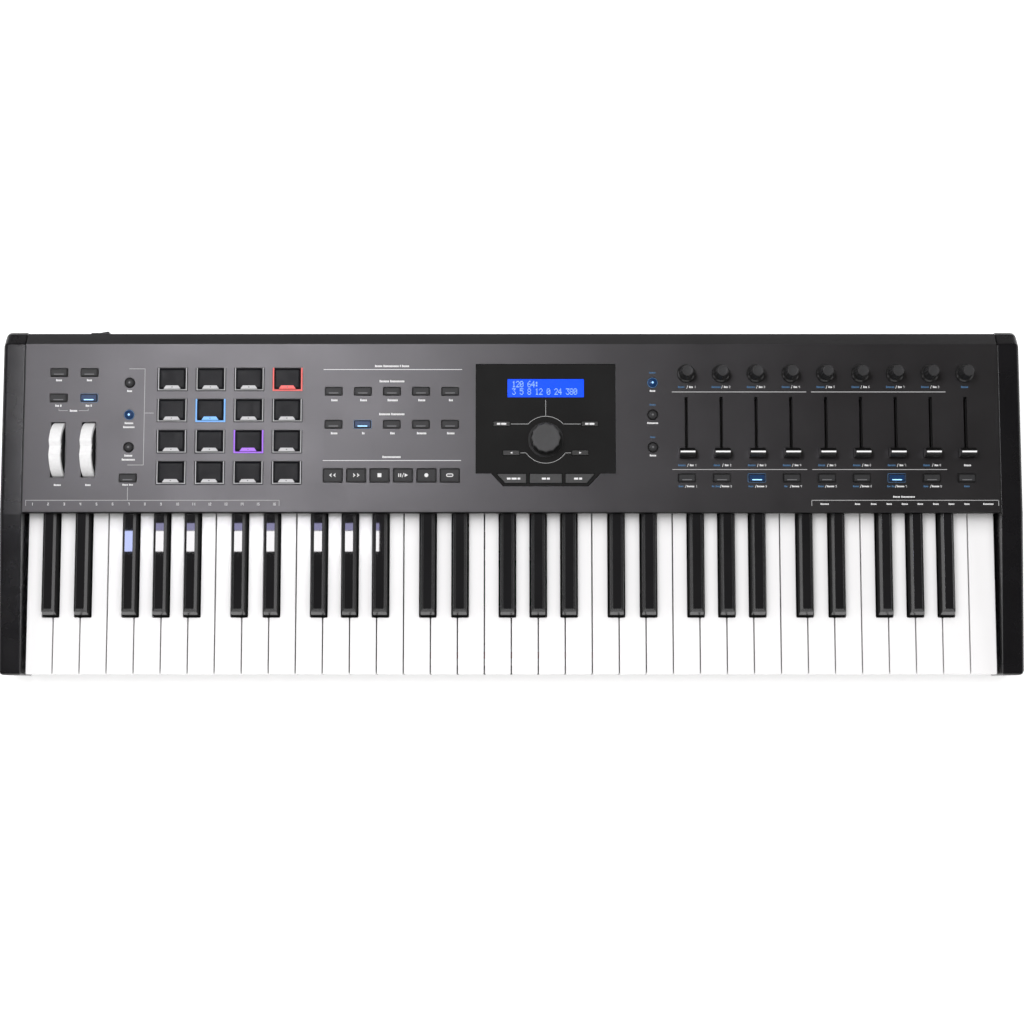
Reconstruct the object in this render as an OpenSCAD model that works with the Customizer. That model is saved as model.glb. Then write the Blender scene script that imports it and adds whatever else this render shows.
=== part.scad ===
// Controller keyboard: a synthesizer control surface with 61 keys, pads, faders and rotary knobs.
// Millimetres. X runs along the keys towards the high notes, Y towards the back, Z up.
// The origin is under the middle of the instrument, on the surface it stands on.

/* [Case] */
// Width over the two end cheeks
case_w = 888.6; // [888:0.2:892]
// Front face of the end cheeks
front_y = -152; // [-153:0.5:-152]
// Back face of the end cheeks
back_y = 148.7; // [148.2:0.1:149]
// Height of the control panel's top face
panel_z = 58; // [58:0.5:60]
// Thickness of the panel's sheet
sheet = 2; // [1.6:0.1:2]
// Height of the cheeks at the front
cheek_front_z = 48.5; // [46:0.5:52]

/* [Keybed] */
// Width of one octave
octave_w = 164.5; // [164:0.1:164.5]
// Height of the white keys' top face
white_z = 41; // [40.6:0.1:41]
// How far the black keys stand above the white ones
black_rise = 12.5; // [11:0.5:12.5]
// Width of a black key at its foot
black_w = 13.4; // [13:0.1:13.6]
// Width of a black key's flat top
black_top_w = 7; // [6:0.5:9]
// Diameter of the rod that the keys turn on
pivot_d = 6; // [5:0.5:6]

/* [Controls] */
// Width of a square-cornered button
button_w = 15.1; // [13:0.1:15.5]
// Depth of a square-cornered button
button_d = 7.2; // [6:0.1:7.4]
// Diameter of a round button
round_d = 8.7; // [8:0.1:9.4]
// Distance between neighbouring pads across the panel
pad_step_x = 33.5; // [33:0.1:33.5]
// Distance between neighbouring pads up the panel
pad_step_y = 27.4; // [27:0.1:27.6]
// Distance between neighbouring channels of the mixer block
channel_step = 30.4; // [30:0.1:30.4]
// Radius of the pitch and modulation wheels
wheel_r = 25; // [24:0.5:25]
// Width of a wheel
wheel_w = 10.3; // [9:0.1:10.5]
// Diameter of the main knob over its lobes
main_knob_d = 25.8; // [22:0.2:28]

/* [Hidden] */
$fn = 48;

// Keys: 36 white ones from C to C, numbered from the left
white_count = 36;
pitch = octave_w / 7;
keys_x0 = -white_count * pitch / 2;
key_gap = 1;
slot_w = black_w + 1.7;
key_front_y = -151.2;
notch_y = -101.8;
black_front_y = -101;
neck_y = 3.5;
tail_y = 17;
key_under_z = 24;
lip_z = 18;
tail_z = 39;
neck_w = 9;
pivot_y = 12;
pivot_z = 30;
bore_r = pivot_d / 2 + 0.05;
// Black key to the right of each white key of an octave, C to B, and how far it is off the joint
has_black = [true, true, false, true, true, true, false];
black_shift = [-2.3, 2.3, 0, -3.4, 0, 3.4, 0];

// Case
inner_x = 425.3;
panel_x = 424.6;
panel_front_y = -10.7;
nose_y = -12.1;
nose_z = panel_z - 3.4;
chamfer_y = 136.7;
rear_y = 147.1;
chamfer_z = panel_z - 7.3;
floor_z = 4;
floor_t = 2.5;
board_z = 44;
board_t = 1.6;
board_top = board_z + board_t;
sheet_under = panel_z - sheet;

// Controls
wheel_xs = [-394.4, -367.8];
wheel_y = 43.4;
wheel_z = 48;
left_xy = [[-395, 111.5], [-368.5, 111.5], [-395, 89], [-368.5, 89], [-333.3, 18.7]];
round_xy = [for (x = [-333.2, 123.3]) for (y = [102.4, 74.1, 45.6]) [x, y]];
pad_xy = [for (j = [0:3]) for (i = [0:3]) [-295.9 + pad_step_x * i, 105.4 - pad_step_y * j]];
command_xy = [for (y = [94.9, 65.8]) for (i = [0:4]) [-155 + 25.4 * i, y]];
transport_xy = [for (i = [0:5]) [-155.2 + 20.35 * i, 21]];
channel_xs = [for (i = [0:8]) 152.6 + channel_step * i];
channel_xy = [for (x = channel_xs) [x, 18.75]];
encoder_y = 110.4;
fader_y = 40.3;
fader_slot = [2.9, 53];
fader_slot_y = 63.4;
screen_c = [29.9, 70.85];
screen_s = [121.7, 96.2];
tray_y = 11.6;
lcd_c = [30, 97.7];
lcd_s = [67, 16.3];
main_c = [30, 52.3];
nav_xy = [[-8.4, 66.1], [68.4, 66.1], [0, 40.7], [60, 40.7]];
nav_s = [14, 4];
pad_s = [23.3, 18.2];
pad_hole = [26.6, 20.8];
transport_s = [17, 12.1];
cap_z = panel_z + 1.4;
cap_under = 50.2;

// Sockets on the back, by the X of each one's centre
socket_z = 28;
usb_x = -296;
dc_x = -330;
midi_xs = [-252, -222];
cv_xs = [for (i = [0:4]) -168 + 17 * i];
pedal_xs = [for (i = [0:4]) -62 + 26 * i];
switch_x = -363.5;
switch_z = 34;

// ---------- shared shapes ----------

// A block between two corners
module block(a, b) {
    translate(a) cube(b - a);
}

// A block centred on an XY point between two heights
module plate(c, s, z0, z1) {
    translate([c[0] - s[0] / 2, c[1] - s[1] / 2, z0]) cube([s[0], s[1], z1 - z0]);
}

// A rod along X
module rod_x(x0, x1, y, z, r) {
    translate([x0, y, z]) rotate([0, 90, 0]) cylinder(h = x1 - x0, r = r);
}

// A rod along Y
module rod_y(x, z, y0, y1, r) {
    translate([x, y0, z]) rotate([-90, 0, 0]) cylinder(h = y1 - y0, r = r);
}

// A side outline, drawn as [Y, Z], stretched along X
module along_x(x0, x1) {
    translate([x0, 0, 0]) rotate([90, 0, 90]) linear_extrude(height = x1 - x0) children();
}

// A front outline, drawn as [X, Z], stretched along Y
module along_y(y0, y1) {
    translate([0, y1, 0]) rotate([90, 0, 0]) linear_extrude(height = y1 - y0) children();
}

// A rectangle with rounded corners, centred on a point
module rounded(c, s, r) {
    translate(c) {
        square([s[0] - 2 * r, s[1]], center = true);
        square([s[0], s[1] - 2 * r], center = true);
        for (i = [-1, 1], j = [-1, 1])
            translate([i * (s[0] / 2 - r), j * (s[1] / 2 - r)]) circle(r = r);
    }
}

// ---------- case ----------

// The glossy screen window's outline, grown by g, with its tray below
module screen_outline(g) {
    x0 = screen_c[0] - screen_s[0] / 2 - g;
    x1 = screen_c[0] + screen_s[0] / 2 + g;
    y0 = screen_c[1] - screen_s[1] / 2;
    y1 = screen_c[1] + screen_s[1] / 2 + g;
    polygon([[x0, y1], [x0, y0 - g], [-17.4 - g, y0 - g], [-7 - g, tray_y - g],
             [67 + g, tray_y - g], [77.4 + g, y0 - g], [x1, y0 - g], [x1, y1]]);
}

// Every opening in the control panel
module panel_openings() {
    for (p = concat(left_xy, command_xy, channel_xy)) rounded(p, [button_w + 0.7, button_d + 0.7], 1.2);
    for (p = transport_xy) rounded(p, transport_s + [0.7, 0.7], 1.2);
    for (p = pad_xy) rounded(p, pad_hole, 0.6);
    for (p = round_xy) translate(p) circle(d = round_d + 0.7);
    for (x = channel_xs) translate([x, encoder_y]) circle(r = 4.8);
    for (x = channel_xs) translate([x, fader_slot_y]) square(fader_slot, center = true);
    for (x = wheel_xs) translate([x - 0.3, wheel_y]) square([12.6, 48.6], center = true);
    screen_outline(0.2);
}

// Side outline of the panel: nose at the front, flat top, slope down at the back
module panel_profile() {
    nose = [for (a = [180:-15:90])
            [panel_front_y + (panel_front_y - nose_y) * cos(a), nose_z + (panel_z - nose_z) * sin(a)]];
    polygon(concat(nose, [
        [chamfer_y, panel_z], [rear_y, chamfer_z], [rear_y, chamfer_z - 3], [rear_y - 2, chamfer_z - 3],
        [rear_y - 2, chamfer_z - 1], [chamfer_y - 0.8, sheet_under], [panel_front_y, sheet_under],
        [panel_front_y - 0.4, nose_z]]));
}

module top_panel() color([0.24, 0.24, 0.26]) {
    difference() {
        along_x(-panel_x, panel_x) panel_profile();
        translate([0, 0, sheet_under - 1]) linear_extrude(height = sheet + 2) panel_openings();
    }
    // posts that carry the control board
    for (x = [-412, -212, -35, 110, 415], y = [8, 124])
        if (x > -400 || y > 100) translate([x, y, board_top]) cylinder(h = sheet_under - board_top, r = 3);
}

// Side outline of an end cheek, drawn in by g all round
module cheek_profile(g) {
    polygon([[front_y + g, floor_z + 1 + g], [front_y + g, cheek_front_z - g],
             [panel_front_y - 2.3, panel_z - g], [chamfer_y, panel_z - g],
             [rear_y - g, chamfer_z + 0.3 - g], [back_y - g, chamfer_z - 2.5 - g],
             [back_y - g, floor_z + 1 + g]]);
}

// The right end cheek; the left one is its mirror image
module cheek() {
    outer = case_w / 2;
    difference() {
        hull() {
            along_x(inner_x, inner_x + 0.1) cheek_profile(1);
            along_x(inner_x + 1, outer - 2.6) cheek_profile(0);
            along_x(outer - 0.1, outer) cheek_profile(2.6);
        }
        // hollow on the hidden side, below the keys and behind them
        block([inner_x - 1, front_y + 6, 9], [outer - 3, panel_front_y - 6, 30]);
        block([inner_x - 1, panel_front_y - 4, 9], [outer - 3, 138, 48]);
    }
}

module right_cheek() color([0.15, 0.15, 0.16]) cheek();

module left_cheek() color([0.15, 0.15, 0.16]) mirror([1, 0, 0]) cheek();

// Where screws go up through the floor
screw_xy = [for (x = [-418, -210, 0, 210, 418]) for (y = [-104, 30]) [x, y]];

module bottom_case() color([0.12, 0.12, 0.13]) {
    difference() {
        union() {
            block([-425, -151, floor_z], [425, rear_y - 2.2, floor_z + floor_t]);
            // front rail under the white keys
            block([-425, -147.8, floor_z + floor_t], [425, -145.6, 13.5]);
            for (p = screw_xy) translate([p[0], p[1], floor_z + floor_t]) cylinder(h = 2.5, r = 4);
        }
        for (p = screw_xy) translate([p[0], p[1], floor_z - 1]) cylinder(h = 8, r = 1.6);
        // cooling slots
        for (i = [0:11]) block([-66 + 12 * i, 60, floor_z - 1], [-62 + 12 * i, 100, floor_z + floor_t + 1]);
    }
}

module rear_panel() color([0.12, 0.12, 0.13]) {
    difference() {
        union() {
            block([-424.6, rear_y - 2, floor_z + 0.6], [424.6, rear_y, chamfer_z - 3.1]);
            // collar round the power switch
            block([switch_x - 11, rear_y - 14, switch_z - 9.4], [switch_x + 11, rear_y, switch_z + 9.4]);
        }
        block([switch_x - 9, rear_y - 12, switch_z - 7], [switch_x + 9, rear_y + 1, switch_z + 7]);
        block([usb_x - 6.1, rear_y - 3, socket_z - 5.6], [usb_x + 6.1, rear_y + 1, socket_z + 5.6]);
        rod_y(dc_x, socket_z, rear_y - 3, rear_y + 1, 4.6);
        for (x = midi_xs) rod_y(x, socket_z, rear_y - 3, rear_y + 1, 8.6);
        for (x = cv_xs) rod_y(x, socket_z, rear_y - 3, rear_y + 1, 3.1);
        for (x = pedal_xs) rod_y(x, socket_z, rear_y - 3, rear_y + 1, 5.1);
    }
    // pin that the power switch rocks on
    translate([switch_x, rear_y - 4, switch_z - 8]) cylinder(h = 16, r = 1);
}

module rubber_feet() color([0.05, 0.05, 0.05]) {
    for (x = [-400, 0, 400], y = [-125, 125])
        translate([x, y, 0]) {
            cylinder(h = 1, r1 = 8, r2 = 9);
            translate([0, 0, 1]) cylinder(h = floor_z - 1, r = 9);
        }
}

module case_screws() color([0.3, 0.3, 0.3]) {
    for (p = screw_xy)
        translate([p[0], p[1], floor_z - 1.5]) difference() {
            union() {
                cylinder(h = 1.5, r = 3);
                cylinder(h = 6, r = 1.5);
            }
            translate([-0.4, -2, -1]) cube([0.8, 4, 1.8]);
            translate([-2, -0.4, -1]) cube([4, 0.8, 1.8]);
        }
}

// ---------- keybed ----------

module keybed_frame() color([0.45, 0.45, 0.47]) {
    difference() {
        union() {
            block([-423.6, -143, 9], [423.6, 18, 10.5]);
            // guide rail under the fronts of the keys
            block([-422, -137, 10.5], [422, -131, 12.3]);
            // rear rail, stop for the tails
            block([-422, 13.5, 10.5], [422, 18, 20]);
            // one post under the rod at every octave
            for (i = [0:5]) post(keys_x0 + octave_w * i);
            post(-keys_x0);
            // spacers under the contact board
            for (x = [-410:102.5:410], y = [-86, -54]) translate([x, y, 10.5]) cylinder(h = 1.5, r = 3);
        }
        rod_x(-430, 430, pivot_y, pivot_z, pivot_d / 2);
        for (p = screw_xy) if (p[1] < 0) translate([p[0], p[1], 8]) cylinder(h = 4, r = 1.6);
        // lightening slots
        for (i = [0:9]) block([-395 + 82.5 * i, -40, 8], [-350 + 82.5 * i, -24, 11]);
    }
}

// A post that holds the rod
module post(x) {
    block([x - 1.2, 6, 10.5], [x + 1.2, 18, 35]);
}

module key_pivot_rod() color([0.75, 0.75, 0.77])
    rod_x(keys_x0 - 1.2, -keys_x0 + 1.2, pivot_y, pivot_z, pivot_d / 2);

// A return spring under each key, shown as a plain sleeve of the coil's size
module key_springs() color([0.8, 0.8, 0.82]) {
    for (k = [0:white_count - 1]) spring(white_x(k) + (tail_l(k) + tail_r(k)) / 2);
    for (k = [0:white_count - 2]) if (has_black[k % 7]) spring(black_x(k));
}

module spring(x) {
    translate([x, -10, 10.5]) difference() {
        cylinder(h = key_under_z - 10.5, r = 3);
        translate([0, 0, -1]) cylinder(h = key_under_z, r = 2.4);
    }
}

module key_contact_board() color([0.1, 0.35, 0.2]) {
    block([-418, -90, 12], [418, -50, 13.6]);
    // a rubber dome under each key
    for (k = [0:white_count - 1]) dome(white_x(k) + (tail_l(k) + tail_r(k)) / 2);
    for (k = [0:white_count - 2]) if (has_black[k % 7]) dome(black_x(k));
}

module dome(x) {
    translate([x, -66, 13.6]) cylinder(h = 3, r1 = 4, r2 = 2.5);
}

module key_stop_felts() color([0.45, 0.1, 0.1]) {
    block([-421, -137, 12.3], [421, -131, 14.6]);
    for (i = [0:4])
        block([keys_x0 + octave_w * i + 1.4, 13.5, 20], [keys_x0 + octave_w * (i + 1) - 1.4, 18, 23.7]);
    block([keys_x0 + octave_w * 5 + 1.4, 13.5, 20], [-keys_x0 - 1.4, 18, 23.7]);
}

// Left boundary of a white key's place
function white_x(k) = keys_x0 + pitch * k;

// Centre of the black key to the right of white key k
function black_x(k) = white_x(k + 1) + black_shift[k % 7];

// Left and right edges of a white key's narrow rear part, from its left boundary
function tail_l(k) = k > 0 && has_black[(k + 6) % 7]
    ? black_shift[(k + 6) % 7] + slot_w / 2
    : key_gap / 2;
function tail_r(k) = k < white_count - 1 && has_black[k % 7]
    ? pitch + black_shift[k % 7] - slot_w / 2
    : pitch - key_gap / 2;

// One white key: a wide front, a narrow tail, a lip down the front and ribs underneath
module white_key(k) {
    l = tail_l(k);
    r = min(tail_r(k), l + 13.2);
    w = pitch - key_gap;
    mid = (l + r) / 2;
    translate([white_x(k), 0, 0]) difference() {
        union() {
            block([key_gap / 2, key_front_y, key_under_z], [key_gap / 2 + w, notch_y, white_z]);
            block([key_gap / 2, key_front_y, lip_z], [key_gap / 2 + w, key_front_y + 1.6, key_under_z]);
            block([l, notch_y, key_under_z], [tail_r(k), neck_y, white_z]);
            block([mid - neck_w / 2, neck_y, key_under_z], [mid + neck_w / 2, tail_y, tail_z]);
        }
        for (s = [-1, 1])
            plate([pitch / 2 + s * 5.5, (key_front_y + notch_y) / 2], [8.5, 44],
                  key_under_z - 1, white_z - 3);
        plate([mid, -60], [r - l - 4, 78], key_under_z - 1, white_z - 3);
        rod_x(-1, pitch + 1, pivot_y, pivot_z, bore_r);
    }
}

// One black key: sloping sides and front, flat top, low tail under the panel
module black_key(k) {
    w = black_w / 2;
    top = white_z + black_rise;
    translate([black_x(k), 0, 0]) difference() {
        intersection() {
            along_y(black_front_y, tail_y)
                polygon([[-w, key_under_z], [w, key_under_z], [w, white_z], [w - 1, top - 2.4],
                         [black_top_w / 2, top], [-black_top_w / 2, top], [1 - w, top - 2.4], [-w, white_z]]);
            along_x(-w, w)
                polygon([[black_front_y, key_under_z], [black_front_y, white_z],
                         [black_front_y + 1.7, top - 6.5], [black_front_y + 6.5, top], [-4, top],
                         [-2, tail_z], [tail_y, tail_z], [tail_y, key_under_z]]);
        }
        for (s = [-1, 1])
            plate([s * (neck_w / 2 + 5), (neck_y + tail_y) / 2 + 1], [10, tail_y - neck_y + 2], 0, 60);
        plate([0, -58], [8, 76], key_under_z - 1, white_z + 4);
        rod_x(-w - 1, w + 1, pivot_y, pivot_z, bore_r);
    }
}

// Every white or black key of one note, n counting C to B
module white_note(n) color([0.93, 0.93, 0.92]) {
    for (k = [n:7:white_count - 1]) white_key(k);
}

module black_note(n) color([0.06, 0.06, 0.07]) {
    for (k = [n:7:white_count - 2]) black_key(k);
}

module c_keys() white_note(0);
module d_keys() white_note(1);
module e_keys() white_note(2);
module f_keys() white_note(3);
module g_keys() white_note(4);
module a_keys() white_note(5);
module b_keys() white_note(6);
module c_sharp_keys() black_note(0);
module d_sharp_keys() black_note(1);
module f_sharp_keys() black_note(3);
module g_sharp_keys() black_note(4);
module a_sharp_keys() black_note(5);

// ---------- inside the case ----------

module control_board() color([0.1, 0.3, 0.18]) {
    block([-350, 9, board_z], [420, 128, board_top]);
    block([-416, 78, board_z], [-350, 128, board_top]);
    // a small switch under every button
    for (p = concat(left_xy, command_xy, channel_xy, transport_xy, round_xy, nav_xy, mode_xy))
        plate(p, [5, 3.6], board_top, board_top + 3.6);
    // a sensor under every pad
    for (p = pad_xy) plate(p, [20, 15], board_top, board_top + 2);
}

module slide_pots() color([0.6, 0.6, 0.62]) {
    for (x = channel_xs) difference() {
        plate([x, 63], [9, 62], board_top, board_top + 7);
        plate([x, fader_slot_y - 0.6], [2.4, 52], board_top + 1.5, board_top + 8);
    }
}

// A rotary sensor with its threaded neck, at an XY point
module encoder_body(c) {
    translate([c[0], c[1], board_top]) difference() {
        union() {
            translate([-6, -6, 0]) cube([12, 12, 7.4]);
            cylinder(h = panel_z + 1.3 - board_top, r = 4.4);
        }
        translate([0, 0, 0.6]) cylinder(h = 20, r = 3.05);
    }
}

module encoder_bodies() color([0.5, 0.5, 0.52]) {
    for (x = channel_xs) encoder_body([x, encoder_y]);
    encoder_body(main_c);
}

module wheel_bracket() color([0.4, 0.4, 0.42]) {
    block([-405, 30, floor_z + floor_t], [-358, 57, 9]);
    for (x = [-403.5, -381.9, -359.7])
        block([x - 1.5, 36, 9], [x + 1.5, 51, 53.5]);
    rod_x(-405, -358.2, wheel_y, wheel_z, 4);
}

// ---------- pads, screen ----------

module pad_light_frames() color([0.82, 0.82, 0.84]) {
    for (p = pad_xy) difference() {
        union() {
            plate(p, pad_hole - [0.4, 0.4], sheet_under - 1, panel_z + 0.3);
            plate(p, pad_hole + [2, 2], sheet_under - 1.6, sheet_under - 0.1);
        }
        plate(p + [0, 0.3], pad_s + [0.6, 0.6], 0, 70);
    }
}

module display_window() color([0.03, 0.03, 0.03]) {
    difference() {
        union() {
            translate([0, 0, sheet_under - 0.1]) linear_extrude(height = sheet - 0.2) screen_outline(0);
            translate([0, 0, sheet_under - 1.6]) linear_extrude(height = 1.5) screen_outline(2);
        }
        plate(lcd_c, lcd_s, 40, 70);
        translate([main_c[0], main_c[1], 40]) cylinder(h = 30, r = 4.8);
        for (p = nav_xy) plate(p, nav_s + [0.6, 0.6], 40, 70);
        for (i = [0:2]) translate([0, 0, 40]) linear_extrude(height = 30) mode_shape(i, 0.3);
    }
}

// The three mode buttons below the screen; the outer two have slanted ends. Grown by g.
mode_xy = [[0.5, 18.4], [30, 18.4], [59.5, 18.4]];
module mode_shape(i, g) {
    y0 = 14.3 - g;
    y1 = 22.2 + g;
    xs = [[-12.4, -5.4, 12.8], [16.2, 16.2, 43.8], [47.2, 47.2, 72.4]][i];
    x2 = i == 2 ? 65.4 : xs[2];
    polygon([[xs[0] - g, y1], [xs[1] - g, y0], [x2 + g, y0], [xs[2] + g, y1]]);
}

module display_module() color([0.1, 0.3, 0.9]) {
    plate(lcd_c, lcd_s - [0.3, 0.3], sheet_under - 2, panel_z - 0.6);
    plate(lcd_c, [80, 24], sheet_under - 6, sheet_under - 2);
}

// ---------- sockets ----------

module usb_socket() color([0.75, 0.75, 0.77]) {
    difference() {
        block([usb_x - 6, rear_y - 17, socket_z - 5.5], [usb_x + 6, rear_y, socket_z + 5.5]);
        block([usb_x - 4.3, rear_y - 9, socket_z - 4], [usb_x + 4.3, rear_y + 1, socket_z + 4]);
    }
    block([usb_x - 2.8, rear_y - 9.5, socket_z - 1.6], [usb_x + 2.8, rear_y - 1, socket_z + 1.6]);
}

module dc_inlet() color([0.08, 0.08, 0.08]) {
    difference() {
        union() {
            block([dc_x - 4.5, rear_y - 13, socket_z - 5.5], [dc_x + 4.5, rear_y - 2.2, socket_z + 5.5]);
            rod_y(dc_x, socket_z, rear_y - 3, rear_y - 0.2, 4.5);
        }
        rod_y(dc_x, socket_z, rear_y - 10, rear_y + 1, 2.9);
    }
    rod_y(dc_x, socket_z, rear_y - 11, rear_y - 1.2, 1);
}

module midi_sockets() color([0.08, 0.08, 0.08]) {
    for (x = midi_xs) difference() {
        union() {
            block([x - 9, rear_y - 16, socket_z - 10], [x + 9, rear_y - 2.2, socket_z + 10]);
            rod_y(x, socket_z, rear_y - 3, rear_y - 0.2, 8.5);
        }
        rod_y(x, socket_z, rear_y - 9, rear_y + 1, 6.8);
        for (a = [0:45:180])
            rod_y(x + 5 * cos(a), socket_z + 5 * sin(a) - 1, rear_y - 14, rear_y - 8, 0.8);
    }
}

// A round jack: body inside, threaded nose flush with the back
module jack(x, r_bore, r_nose, w, deep) {
    difference() {
        union() {
            block([x - w / 2, rear_y - deep - 3, socket_z - w / 2],
                  [x + w / 2, rear_y - 2.2, socket_z + w / 2]);
            rod_y(x, socket_z, rear_y - 3, rear_y - 0.2, r_nose);
        }
        rod_y(x, socket_z, rear_y - deep, rear_y + 1, r_bore);
    }
}

module pedal_sockets() color([0.08, 0.08, 0.08]) {
    for (x = pedal_xs) jack(x, 3.2, 5, 16, 30);
}

module cv_sockets() color([0.08, 0.08, 0.08]) {
    for (x = cv_xs) jack(x, 1.8, 3, 9, 15);
}

// ---------- moving controls ----------

// A rotary knob of the mixer block: skirt, tapering grip, and the shaft in its sensor
module small_knob(i) color([0.2, 0.2, 0.2]) {
    translate([channel_xs[i], encoder_y, 0]) {
        difference() {
            union() {
                translate([0, 0, panel_z + 0.6]) cylinder(h = 2.6, r1 = 8.1, r2 = 7.6);
                translate([0, 0, panel_z + 3.2]) cylinder(h = 14.2, r1 = 6.3, r2 = 4.8);
            }
            translate([0, 0, panel_z]) cylinder(h = 2, r = 5.2);
        }
        translate([0, 0, board_top + 1]) cylinder(h = panel_z + 4 - board_top, r = 3);
    }
}

module knob_1() small_knob(0);
module knob_2() small_knob(1);
module knob_3() small_knob(2);
module knob_4() small_knob(3);
module knob_5() small_knob(4);
module knob_6() small_knob(5);
module knob_7() small_knob(6);
module knob_8() small_knob(7);
module knob_9() small_knob(8);

// The main knob turns on a shaft that is also pressed down to select
module select_shaft() color([0.75, 0.75, 0.77]) {
    translate([main_c[0], main_c[1], board_top + 1.6]) cylinder(h = 20, r = 3);
}

module select_knob() color([0.22, 0.22, 0.23]) {
    r = main_knob_d / 2;
    translate([main_c[0], main_c[1], panel_z + 1.8]) difference() {
        union() {
            cylinder(h = 12.4, r = r - 1);
            for (a = [0:30:330]) rotate(a) translate([r - 2, 0, 0]) cylinder(h = 11.6, r = 2);
        }
        translate([0, 0, -1]) cylinder(h = 9, r = 3.05);
    }
}

module wheel(x) {
    difference() {
        rod_x(x - wheel_w / 2, x + wheel_w / 2, wheel_y, wheel_z, wheel_r);
        rod_x(x - wheel_w, x + wheel_w, wheel_y, wheel_z, 4.05);
        // thumb notch at the crown
        along_x(x - wheel_w, x + wheel_w) translate([wheel_y, wheel_z + wheel_r])
            polygon([[-10.1, 0.5], [1.7, -3.2], [9.6, 0.5]]);
    }
}

module pitch_wheel() color([0.92, 0.92, 0.92]) wheel(wheel_xs[0]);
module mod_wheel() color([0.92, 0.92, 0.92]) wheel(wheel_xs[1]);

// A fader: cap above the panel on a flat lever that reaches into its slide
module fader(i) {
    translate([channel_xs[i], fader_y, 0]) {
        along_x(-6.8, 6.8)
            polygon([[-4.2, panel_z + 1.2], [4.2, panel_z + 1.2], [3.9, panel_z + 8], [1.2, panel_z + 12.6],
                     [-1.2, panel_z + 12.6], [-3.9, panel_z + 8]]);
        block([-0.7, -2.5, board_top + 3], [0.7, 2.5, panel_z + 2]);
    }
}

module faders_1_to_4() color([0.12, 0.12, 0.13]) {
    for (i = [0:3]) fader(i);
}

module faders_5_to_8() color([0.12, 0.12, 0.13]) {
    for (i = [4:7]) fader(i);
}

module master_fader() color([0.12, 0.12, 0.13]) fader(8);

module pads() color([0.1, 0.1, 0.11]) {
    for (p = pad_xy) plate(p + [0, 0.3], pad_s, board_top + 3.4, panel_z + 2);
}

// Square-cornered button caps at a list of points, each with a foot that the panel keeps in
module caps(points, s) {
    for (p = points) {
        plate(p, s, cap_under, cap_z);
        plate(p, s + [2, 1.6], sheet_under - 2.2, sheet_under - 0.8);
    }
}

module transport_buttons() color([0.2, 0.2, 0.2]) caps(transport_xy, transport_s);
module command_buttons() color([0.2, 0.2, 0.2]) caps(command_xy, [button_w, button_d]);
module channel_buttons() color([0.2, 0.2, 0.2]) caps(channel_xy, [button_w, button_d]);
module left_buttons() color([0.2, 0.2, 0.2]) caps(left_xy, [button_w, button_d]);

module screen_buttons() color([0.35, 0.35, 0.35]) {
    for (p = nav_xy) plate(p, nav_s, cap_under, panel_z + 0.8);
    for (i = [0:2])
        translate([0, 0, cap_under]) linear_extrude(height = panel_z + 0.8 - cap_under) mode_shape(i, 0);
}

module round_buttons() color([0.15, 0.15, 0.15]) {
    for (p = round_xy) translate([p[0], p[1], cap_under]) {
        cylinder(h = panel_z + 0.6 - cap_under, d = round_d);
        translate([0, 0, panel_z + 0.6 - cap_under]) cylinder(h = 1.2, d1 = round_d, d2 = round_d - 3);
        translate([0, 0, sheet_under - 2.2 - cap_under]) cylinder(h = 1.4, d = round_d + 2);
    }
}

// A rocker that stands at rest with its right end out
module power_switch() color([0.05, 0.05, 0.05]) {
    translate([switch_x, rear_y - 4, switch_z]) rotate([0, 0, 5]) difference() {
        translate([0, 0, -6.4]) linear_extrude(height = 12.8)
            polygon([[-8, -2], [8, -2], [8, 7.8], [0, 7.2], [-8, 7.8]]);
        translate([0, 0, -8]) cylinder(h = 16, r = 1.05);
    }
}

bottom_case();
top_panel();
left_cheek();
right_cheek();
rear_panel();
keybed_frame();
key_pivot_rod();
key_springs();
key_contact_board();
key_stop_felts();
control_board();
slide_pots();
encoder_bodies();
wheel_bracket();
pad_light_frames();
display_window();
display_module();
usb_socket();
midi_sockets();
pedal_sockets();
cv_sockets();
dc_inlet();
rubber_feet();
case_screws();
c_keys();
d_keys();
e_keys();
f_keys();
g_keys();
a_keys();
b_keys();
c_sharp_keys();
d_sharp_keys();
f_sharp_keys();
g_sharp_keys();
a_sharp_keys();
knob_1();
knob_2();
knob_3();
knob_4();
knob_5();
knob_6();
knob_7();
knob_8();
knob_9();
select_shaft();
select_knob();
pitch_wheel();
mod_wheel();
faders_1_to_4();
faders_5_to_8();
master_fader();
pads();
transport_buttons();
command_buttons();
channel_buttons();
screen_buttons();
left_buttons();
round_buttons();
power_switch();
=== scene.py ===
"""Looks of the controller keyboard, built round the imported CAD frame."""
import math

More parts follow.
